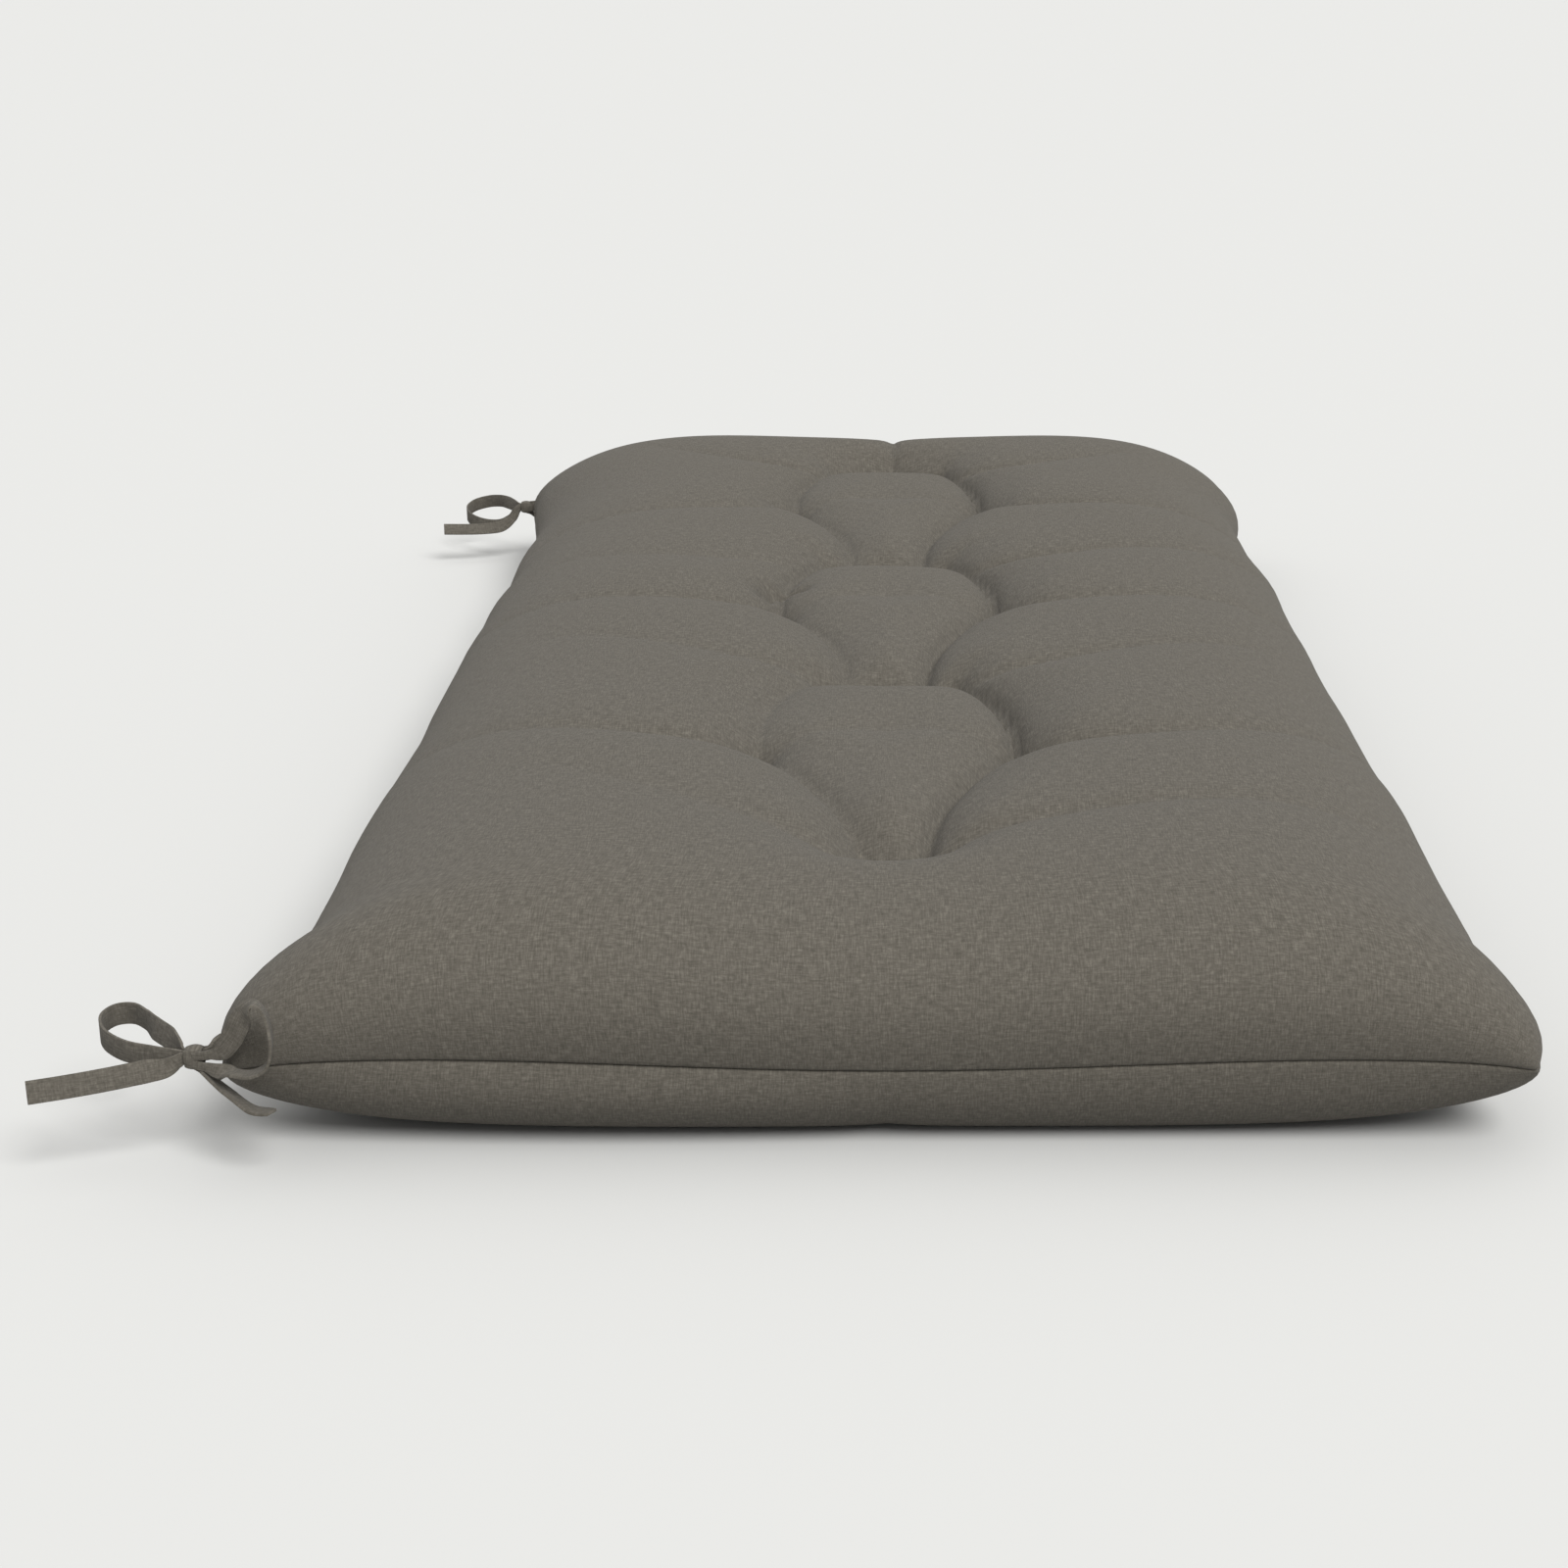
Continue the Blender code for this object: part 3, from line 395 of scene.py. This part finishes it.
# Lighter and darker dashes of warp and weft, and slubs, where a thicker yarn runs either way.
#    across mm  along mm  seed  share of the shade
WEAVE_DASHES = (
    (YARN_MM, DASH_MM, 3.0, 0.24),
    (DASH_MM, YARN_MM, 11.0, 0.22),
    (0.7, 6.0, 7.0, 0.32),
    (5.0, 1.1, 5.0, 0.30),
)
DASH_DETAIL, DASH_RAGGEDNESS = 2.0, 0.6
# From dark to light: place on the ramp and colour.
CLOTH_SHADES = ((0.34, "#413e37"), (0.50, "#4f4b44"), (0.66, "#605c54"))
CLOTH_ROUGHNESS, CLOTH_SPECULAR = 0.95, 0.20
FUZZ, FUZZ_ROUGHNESS = 0.04, 0.55      # the faint sheen of loose fibre ends
WAVE_PERIOD = math.pi / 10             # of a wave texture at a scale of 1
YARN_WANDER = 0.6                      # how far the yarns stray from straight lines
YARN_RELIEF, RELIEF_STRENGTH = 0.00015, 0.5


def melange_weave(name):
    """Matt plain weave: mixed dashes for its colour, and crossing yarns for its relief."""
    material = bpy.data.materials.new(name)
    material.use_nodes = True
    tree = material.node_tree
    shader = tree.nodes["Principled BSDF"]
    shader.inputs["Roughness"].default_value = CLOTH_ROUGHNESS
    shader.inputs["Specular IOR Level"].default_value = CLOTH_SPECULAR
    shader.inputs["Sheen Weight"].default_value = FUZZ
    shader.inputs["Sheen Roughness"].default_value = FUZZ_ROUGHNESS
    cloth = add_node(tree, "ShaderNodeTexCoord").outputs["UV"]
    shade = 0.5 - sum(row[-1] for row in WEAVE_DASHES) / 2
    for across_mm, along_mm, seed, share in WEAVE_DASHES:
        place = add_node(tree, "ShaderNodeMapping", Vector=cloth, Location=(seed, seed, 0.0),
                         Scale=(1000 / across_mm, 1000 / along_mm, 1.0))
        dashes = add_node(tree, "ShaderNodeTexNoise", {"noise_dimensions": "2D"},
                          Vector=place.outputs[0], Scale=1.0, Detail=DASH_DETAIL,
                          Roughness=DASH_RAGGEDNESS)
        shade = add_node(tree, "ShaderNodeMath", {"operation": "MULTIPLY_ADD"},
                         n0=dashes.outputs["Fac"], n1=share, n2=shade).outputs[0]
    ramp = add_node(tree, "ShaderNodeValToRGB", Fac=shade)
    stops = ramp.color_ramp.elements
    stops.new(CLOTH_SHADES[1][0])
    for stop, (position, hex_code) in zip(stops, CLOTH_SHADES):
        stop.position = position
        stop.color = linear_colour(hex_code)
    tree.links.new(ramp.outputs["Color"], shader.inputs["Base Color"])
    yarns = [add_node(tree, "ShaderNodeTexWave",
                      {"wave_type": "BANDS", "bands_direction": direction},
                      Vector=cloth, Scale=WAVE_PERIOD / (YARN_MM / 1000),
                      Distortion=YARN_WANDER, Detail=1.0).outputs["Fac"]
             for direction in ("X", "Y")]
    woven = add_node(tree, "ShaderNodeMath", {"operation": "ADD"}, n0=yarns[0], n1=yarns[1])
    slubbed = add_node(tree, "ShaderNodeMath", {"operation": "ADD"}, n0=woven.outputs[0],
                       n1=shade)
    bump = add_node(tree, "ShaderNodeBump", Strength=RELIEF_STRENGTH, Distance=YARN_RELIEF,
                    Height=slubbed.outputs[0])
    tree.links.new(bump.outputs["Normal"], shader.inputs["Normal"])
    return material


def new_piece(name, bm, material):
    """A smooth-shaded piece of the scene from its finished mesh."""
    mesh = bpy.data.meshes.new(name)
    bm.to_mesh(mesh)
    bm.free()
    mesh.materials.append(material)
    mesh.shade_smooth()
    piece = bpy.data.objects.new(name, mesh)
    bpy.context.scene.collection.objects.link(piece)
    return piece


cover_mesh = bmesh.new()
sew_panel(cover_mesh, top_places, (TOP_ACROSS, TOP_RISE, 1.0), (TOP_ALONG, TOP_RISE, 1.0), False)
sew_panel(cover_mesh, under_places, (UNDER_ACROSS, SEAM_HEIGHT, UNDER_FLATTENING),
          (UNDER_ALONG, SEAM_HEIGHT, UNDER_FLATTENING), True)
bmesh.ops.remove_doubles(cover_mesh, verts=cover_mesh.verts, dist=SEAM_WELD)
cover_cloth = melange_weave("cover_melange_plain_weave")
cover = new_piece("filled_cover", cover_mesh, cover_cloth)
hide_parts("cushion")
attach(cover, "root")

# ==== The tied straps ===========================================================================
# Two straps of the same cloth at each left corner, folded lengthwise and stitched into a flat
# tape, sewn into the corner of the seam and tied in a bow: one makes the left loop and tail, the
# other binds the knot and makes the right loop and tail.

# Sizes of the straps are millimetres.
TAPE_THICK = 1.1
TAPE_STEPS = 6            # cells of tape between two rows of a table
EDGE_ROUND = 0.30         # the tape's folded edges are round
EDGE_STEPS, EDGE_ANGLE = 2, 50.0
KNOT_ALONG = 6.6          # length of the turn that binds the knot
KNOT_WALL = 1.3
WRAP_STEPS = 32           # cells round the turn
WRAP_RINGS = 5            # and rings of corners between its two edges
WRAP_SQUARENESS = 0.86    # 0 is an oval turn, 1 a square one; on the inside, against the tape
WRAP_OUTER_SQUARENESS = 0.50
WRAP_END_THINNING = 0.55  # share by which the turn's wall is rolled off at its two edges
NEAR_KNOT = (-0.2632, -0.5030, 0.0442)      # metres
FAR_KNOT = (-0.2690, 0.5030, 0.0384)
SLOPE_START = 6.0         # distance from the knot at which a loop starts to fall
NEAR_RIGHT_SLOPE = 0.0    # rise of a bow's right loop for each millimetre past that
FAR_RIGHT_SLOPE = -0.45

# Directions of the tape's width.
STANDING = (0.0, 0.0, 1.0)            # on edge
LEANING = (0.0, 0.45, 0.89)
SLANTED = (0.0, 0.70, 0.70)
FACING = (-0.85, 0.25, 0.40)          # across the bow, so that the near end shows its flat side
END_ON = (-0.15, 0.95, -0.12)         # along the cushion, so that the near end shows its edge
TURNING = (-0.50, 0.80, 0.10)         # between those two
LEVEL = (0.0, 1.0, 0.0)

# Rows are millimetres from the knot: right (+X), towards the far end (+Y), up, then the
# direction of the tape's width and the width itself.
LAYER = 1.7               # depth from one layer of tape to the next inside the knot
WRAP_LAYER = 3.4          # depth of the wrap's front and back walls
KNOT_TOP = 3.8            # height of the wrap's top wall over the middle of the knot
STEM_WIDTH = 6.2
GATHERED = 4.9            # width of the tape where it is drawn through the knot

# Both straps leave the corner on edge, side by side.
NEAR_LOOP_STEM = (
    (11.3, 7.2, 4.5, STANDING, STEM_WIDTH),
    (8.2, 4.0, 2.9, STANDING, STEM_WIDTH),
    (5.4, LAYER, 0.6, STANDING, GATHERED),
)
NEAR_WRAP_STEM = (
    (9.1, 8.2, 3.1, STANDING, STEM_WIDTH),
    (7.4, 6.0, 2.4, STANDING, STEM_WIDTH),
    (5.2, 3.6, 0.6, STANDING, GATHERED),
    (0.0, WRAP_LAYER, 0.0, STANDING, GATHERED),
)
FAR_LOOP_STEM = (
    (11.0, -2.2, 2.6, STANDING, STEM_WIDTH),
    (8.6, -0.8, 1.0, STANDING, STEM_WIDTH),
    (5.4, LAYER, 0.0, STANDING, GATHERED),
)
FAR_WRAP_STEM = (
    (7.1, -3.6, 0.2, STANDING, STEM_WIDTH),
    (5.0, -3.5, 0.0, STANDING, GATHERED),
    (0.0, -WRAP_LAYER, 0.0, STANDING, GATHERED),
)


def turned_back(right, layer, degrees):
    """One row of the half turn in which the tape doubles back inside the knot."""
    angle = math.radians(degrees)
    radius = layer / 2
    return (right + radius * math.sin(angle), -radius * (1 - math.cos(angle)), 0.0,
            STANDING, GATHERED)


INSIDE_KNOT = (
    (-3.8, 0.0, 0.0, STANDING, GATHERED),
    (1.0, 0.0, 0.0, STANDING, GATHERED),
    *(turned_back(2.0, LAYER, angle) for angle in (0, 30, 60, 90, 120, 150, 180)),
    (1.0, -LAYER, 0.0, STANDING, GATHERED),
    (-3.8, -LAYER, 0.0, STANDING, GATHERED),
)
NEAR_LOOP_STRAP = (
    (-3.8, LAYER, 0.0, STANDING, GATHERED),
    (-6.4, 4.6, 1.6, STANDING, 7.0),
    (-11.9, 11.0, 2.8, LEANING, 8.8),
    (-19.6, 19.4, 3.2, LEANING, 9.0),
    (-25.5, 28.0, 3.2, STANDING, 9.0),
    (-32.6, 35.2, 2.8, STANDING, 9.0),
    (-40.0, 35.0, 2.0, STANDING, 9.0),
    (-42.6, 26.0, 1.6, STANDING, 9.0),
    (-38.0, 14.0, 1.1, STANDING, 9.0),
    (-28.0, 4.8, 0.4, STANDING, 9.0),
    (-17.0, 1.2, 0.0, STANDING, 8.4),
    (-8.4, 0.2, -0.1, STANDING, 6.6),
    *INSIDE_KNOT,
    (-6.2, -2.7, -0.9, STANDING, 5.6),
    (-10.5, -4.6, -2.8, LEANING, 7.6),
    (-17.5, -6.8, -3.2, LEANING, 9.0),
    (-31.0, -10.8, -4.6, LEANING, 9.0),
    (-45.0, -14.6, -5.8, LEANING, 9.0),
    (-59.0, -18.0, -6.8, LEANING, 9.0),
)
FAR_LOOP_STRAP = (
    (-3.8, LAYER, 0.0, STANDING, GATHERED),
    (-6.4, 4.0, -0.4, STANDING, 6.2),
    (-10.5, 10.0, -0.8, LEANING, 8.4),
    (-16.0, 19.0, -0.8, LEANING, 9.0),
    (-23.0, 29.0, -1.6, STANDING, 9.0),
    (-33.0, 36.5, -3.6, STANDING, 9.0),
    (-43.5, 35.5, -6.4, STANDING, 9.0),
    (-48.0, 26.0, -9.4, STANDING, 9.0),
    (-43.5, 14.0, -12.4, STANDING, 9.0),
    (-32.5, 5.8, -14.6, STANDING, 9.0),
    (-20.0, 2.0, -14.0, STANDING, 8.6),
    (-11.0, 0.6, -8.6, STANDING, 7.0),
    (-7.0, 0.2, -2.6, STANDING, 5.4),
    *INSIDE_KNOT,
    (-6.6, -2.6, -1.6, STANDING, 5.2),
    (-11.0, -4.6, -8.4, LEANING, 7.0),
    (-18.5, -7.0, -13.2, LEANING, 8.6),
    (-31.0, -11.0, -14.2, SLANTED, 9.0),
    (-44.0, -14.6, -13.8, SLANTED, 9.0),
    (-59.0, -18.0, -13.0, SLANTED, 9.0),
)
WRAP_STRAP_LOOP = (
    (0.0, -WRAP_LAYER, -1.8, STANDING, 2.8),
    (5.0, -4.2, -2.4, STANDING, 3.4),
    (10.5, -6.6, -3.0, SLANTED, 5.8),
    (16.1, -9.0, -2.6, END_ON, 8.6),
    (23.4, -10.5, -2.6, END_ON, 9.0),
    (29.7, -11.0, 0.9, END_ON, 9.0),
    (32.1, -10.5, 8.0, END_ON, 9.0),
    (31.5, -9.5, 16.9, END_ON, 9.0),
    (29.6, -8.8, 22.6, END_ON, 8.6),
    (26.4, -8.4, 25.2, END_ON, 8.0),
    (23.2, -8.0, 22.8, TURNING, 8.0),
    (20.4, -7.4, 17.6, FACING, 8.6),
    (17.2, -6.8, 11.4, FACING, 8.8),
    (12.6, -5.6, 5.0, FACING, 7.2),
    (7.0, -4.2, 2.6, STANDING, 3.4),
    (0.0, -WRAP_LAYER, 1.8, STANDING, 2.8),
)
WRAP_STRAP_TAIL = (
    (0.0, 0.0, -KNOT_TOP, LEVEL, 4.0),
    (2.8, -1.2, -KNOT_TOP - 0.9, LEVEL, 4.6),
    (6.4, -3.6, -7.0, END_ON, 6.4),
    (14.2, -8.6, -11.0, END_ON, 9.0),
    (23.7, -13.4, -15.6, END_ON, 9.0),
    (32.0, -17.0, -15.2, END_ON, 6.0),
)


def sloped(rows, slope):
    """The same rows, rising or falling with their distance from the knot."""
    return [(*row[0:2], row[2] + slope * max(0.0, abs(row[0]) - SLOPE_START), *row[3:])
            for row in rows]


def smooth_rows(rows):
    """Places, width directions and widths along a tape, read from a curve through its rows."""
    stations = []
    for index in range(len(rows) - 1):
        before = Vector(rows[max(index - 1, 0)][0:3])
        start, end = Vector(rows[index][0:3]), Vector(rows[index + 1][0:3])
        after = Vector(rows[min(index + 2, len(rows) - 1)][0:3])
        leave, arrive = (end - before) / 2, (after - start) / 2
        for step in range(TAPE_STEPS):
            t = step / TAPE_STEPS
            place = (start * (2 * t ** 3 - 3 * t ** 2 + 1) + leave * (t ** 3 - 2 * t ** 2 + t)
                     + end * (3 * t ** 2 - 2 * t ** 3) + arrive * (t ** 3 - t ** 2))
            across = Vector(rows[index][3]).lerp(Vector(rows[index + 1][3]), t)
            width = rows[index][4] + (rows[index + 1][4] - rows[index][4]) * t
            stations.append((place, across, width))
    last = rows[-1]
    stations.append((Vector(last[0:3]), Vector(last[3]), last[4]))
    return stations


def tape_length(rows):
    """Length in metres of a tape, measured along it."""
    places = [station[0] for station in smooth_rows(rows)]
    return sum((after - before).length for before, after in zip(places, places[1:])) / 1000


def fold_tape(rows, knot, mirror):
    """A straight flat tape bent along its rows, with its flat cloth as UVs."""
    stations = smooth_rows(rows)
    cells = len(stations) - 1
    lengths = [0.0]
    for before, after in zip(stations, stations[1:]):
        lengths.append(lengths[-1] + (after[0] - before[0]).length)
    bm = bmesh.new()
    # a unit tape first, whose corners then move to their places along the rows
    bmesh.ops.create_grid(bm, x_segments=cells, y_segments=2, size=0.5)
    bmesh.ops.solidify(bm, geom=bm.faces[:], thickness=1.0)
    heights = [vert.co.z for vert in bm.verts]
    middle = (min(heights) + max(heights)) / 2
    uv_layer = bm.loops.layers.uv.verify()
    uv_of = {}
    for vert in bm.verts:
        index = min(cells, max(0, round((vert.co.x + 0.5) * cells)))
        place, across, width = stations[index]
        ahead = stations[min(index + 1, cells)][0] - stations[max(index - 1, 0)][0]
        ahead.normalize()
        across = (across - ahead * across.dot(ahead)).normalized()
        normal = ahead.cross(across)
        side = round(vert.co.y * 2) * width / 2
        layer = math.copysign(TAPE_THICK / 2, vert.co.z - middle)
        uv_of[vert] = (side / 1000, lengths[index] / 1000)
        local = place + across * side + normal * layer
        vert.co = knot + Vector((local.x, local.y * mirror, local.z)) / 1000
    for face in bm.faces:
        for loop in face.loops:
            loop[uv_layer].uv = uv_of[loop.vert]
    if bm.calc_volume(signed=True) < 0:
        bmesh.ops.reverse_faces(bm, faces=bm.faces)
    return bm


def bind_knot(knot):
    """The turn of tape that binds the knot: a short tube along X, rounded on the outside."""
    bm = bmesh.new()
    # a unit tube first, whose corners then move to their places round the knot
    bmesh.ops.create_cone(bm, cap_ends=False, segments=WRAP_STEPS, radius1=1.0, radius2=1.0,
                          depth=1.0)
    lengthwise = [edge for edge in bm.edges
                  if edge.verts[0].co.z * edge.verts[1].co.z < 0]
    bmesh.ops.subdivide_edges(bm, edges=lengthwise, cuts=WRAP_RINGS)
    bmesh.ops.solidify(bm, geom=bm.faces[:], thickness=0.5)
    radii = [vert.co.xy.length for vert in bm.verts]
    inner_radius, wall = min(radii), max(radii) - min(radii)
    for vert in bm.verts:
        outer = (vert.co.xy.length - inner_radius) / wall
        thickness = outer * KNOT_WALL * (1.0 - WRAP_END_THINNING * (2 * vert.co.z) ** 2)
        angle = math.atan2(vert.co.y, vert.co.x)
        squareness = WRAP_SQUARENESS + outer * (WRAP_OUTER_SQUARENESS - WRAP_SQUARENESS)
        squared = max(abs(math.cos(angle)), abs(math.sin(angle))) ** -squareness
        deep = WRAP_LAYER - KNOT_WALL / 2 + thickness
        tall = KNOT_TOP - KNOT_WALL / 2 + thickness
        vert.co = knot + Vector((vert.co.z * KNOT_ALONG,
                                 math.cos(angle) * deep * squared,
                                 math.sin(angle) * tall * squared)) / 1000
    if bm.calc_volume(signed=True) < 0:
        bmesh.ops.reverse_faces(bm, faces=bm.faces)
    uv_layer = bm.loops.layers.uv.verify()
    for face in bm.faces:
        for loop in face.loops:
            loop[uv_layer].uv = (loop.vert.co.x, loop.vert.co.z)
    return bm


def sewn_into_one(whole, lengths):
    """Joins lengths of one strap to its knot turn, so that the strap is one closed body."""
    for length in lengths:
        union = whole.modifiers.new("sewn", "BOOLEAN")
        union.operation = "UNION"
        union.solver = "EXACT"
        union.object = length
    evaluated = whole.evaluated_get(bpy.context.evaluated_depsgraph_get())
    mesh = bpy.data.meshes.new_from_object(evaluated)
    whole.modifiers.clear()
    whole.data = mesh
    for length in lengths:
        bpy.data.objects.remove(length)


def soft_edges(piece):
    """The folded edges of the tape are round, not cut."""
    bevel = piece.modifiers.new("soft_edge", "BEVEL")
    bevel.width = EDGE_ROUND / 1000
    bevel.segments = EDGE_STEPS
    bevel.limit_method = "ANGLE"
    bevel.angle_limit = math.radians(EDGE_ANGLE)


strap_cloth = melange_weave("strap_melange_plain_weave")


def tie_bow(end_name, mirror, knot_place, loop_stem, loop_strap, wrap_stem, right_slope):
    """The two straps of one corner; mirror is -1 where the bow is turned to the far end."""
    knot = Vector(knot_place)
    loop_rows = (*loop_stem, *loop_strap)
    right_rows = sloped(WRAP_STRAP_LOOP, right_slope)
    loop_piece = new_piece(end_name + "_loop_tape", fold_tape(loop_rows, knot, 1), strap_cloth)
    wrap_piece = new_piece(end_name + "_wrap_tape", bind_knot(knot), strap_cloth)
    lengths = [
        new_piece(end_name + "_stem_length", fold_tape(wrap_stem, knot, 1), strap_cloth),
        new_piece(end_name + "_loop_length", fold_tape(right_rows, knot, mirror), strap_cloth),
        new_piece(end_name + "_tail_length", fold_tape(WRAP_STRAP_TAIL, knot, mirror),
                  strap_cloth),
    ]
    sewn_into_one(wrap_piece, lengths)
    loop_length = round(tape_length(loop_rows), 3)
    wrap_length = round(sum(tape_length(rows) for rows in (wrap_stem, right_rows, WRAP_STRAP_TAIL))
                        + 4 * (WRAP_LAYER + KNOT_TOP) / 1000, 3)
    for piece, node, flat_length in ((loop_piece, "_loop_strap", loop_length),
                                     (wrap_piece, "_wrap_strap", wrap_length)):
        soft_edges(piece)
        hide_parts(end_name + node)
        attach(piece, "root")


tie_bow("near", 1, NEAR_KNOT, NEAR_LOOP_STEM, NEAR_LOOP_STRAP, NEAR_WRAP_STEM, NEAR_RIGHT_SLOPE)
tie_bow("far", -1, FAR_KNOT, FAR_LOOP_STEM, FAR_LOOP_STRAP, FAR_WRAP_STEM, FAR_RIGHT_SLOPE)

# ==== The studio ================================================================================
# A plain pale floor and soft light from above, seen from low in front of the cushion's near end.

FLOOR_HALF_SIDE = 60.0
FLOOR_DROP = 0.0002       # the floor is this far under the cushion, so that no two faces coincide
FLOOR_COLOUR = "#b2b2b0"
FLOOR_ROUGHNESS = 0.9
SKY_AT_HORIZON, SKY_OVERHEAD = 0.24, 1.34
KEY_STRENGTH = 3.7
KEY_SPREAD = 30.0         # degrees; a wide lamp, for soft shadows
KEY_FROM = (0.36, -0.58, 0.73)        # direction from the cushion to the lamp
SENSOR_MM, LENS_MM = 36.0, 60.08
LENS_SHIFT = -0.0656      # the cushion stands a little right of the picture's middle
CAMERA_PLACE = (0.0, -1.415, 0.455)
CAMERA_TILT = 18.3        # degrees down from level
CAMERA_REACH = 100.0

floor_mesh = bmesh.new()
bmesh.ops.create_grid(floor_mesh, x_segments=1, y_segments=1, size=FLOOR_HALF_SIDE)
bmesh.ops.translate(floor_mesh, verts=floor_mesh.verts, vec=(0.0, 0.0, -FLOOR_DROP))
# matt white floor paint: pale, with no reflections
floor_paint = bpy.data.materials.new("matt_white_floor_paint")
floor_paint.use_nodes = True
floor_shader = floor_paint.node_tree.nodes["Principled BSDF"]
floor_shader.inputs["Base Color"].default_value = linear_colour(FLOOR_COLOUR)
floor_shader.inputs["Roughness"].default_value = FLOOR_ROUGHNESS
studio_floor = new_piece("studio_floor", floor_mesh, floor_paint)

# an even white sky, brightest overhead
world = bpy.data.worlds.new("studio")
bpy.context.scene.world = world
world.use_nodes = True
sky = world.node_tree
looking = add_node(sky, "ShaderNodeTexCoord").outputs["Generated"]
upward = add_node(sky, "ShaderNodeSeparateXYZ", Vector=looking).outputs["Z"]
brightness = add_node(sky, "ShaderNodeMapRange", Value=upward, From_Min=0.0, From_Max=1.0,
                      To_Min=SKY_AT_HORIZON, To_Max=SKY_OVERHEAD).outputs["Result"]
sky.links.new(brightness, sky.nodes["Background"].inputs["Strength"])
sky.nodes["Background"].inputs["Color"].default_value = (1.0, 1.0, 1.0, 1.0)

key_lamp = bpy.data.lights.new("soft_key", "SUN")
key_lamp.energy = KEY_STRENGTH
key_lamp.angle = math.radians(KEY_SPREAD)
key_light = bpy.data.objects.new("soft_key", key_lamp)
key_light.rotation_euler = Vector(KEY_FROM).to_track_quat("Z", "Y").to_euler()
bpy.context.scene.collection.objects.link(key_light)

bpy.context.scene.view_settings.view_transform = "Standard"

camera_lens = bpy.data.cameras.new("camera")
camera_lens.sensor_width = SENSOR_MM
camera_lens.lens = LENS_MM
camera_lens.shift_x = LENS_SHIFT
camera_lens.clip_end = CAMERA_REACH
camera = bpy.data.objects.new("camera", camera_lens)
camera.location = CAMERA_PLACE
camera.rotation_euler = (math.radians(90.0 - CAMERA_TILT), 0.0, 0.0)
bpy.context.scene.collection.objects.link(camera)
bpy.context.scene.camera = camera
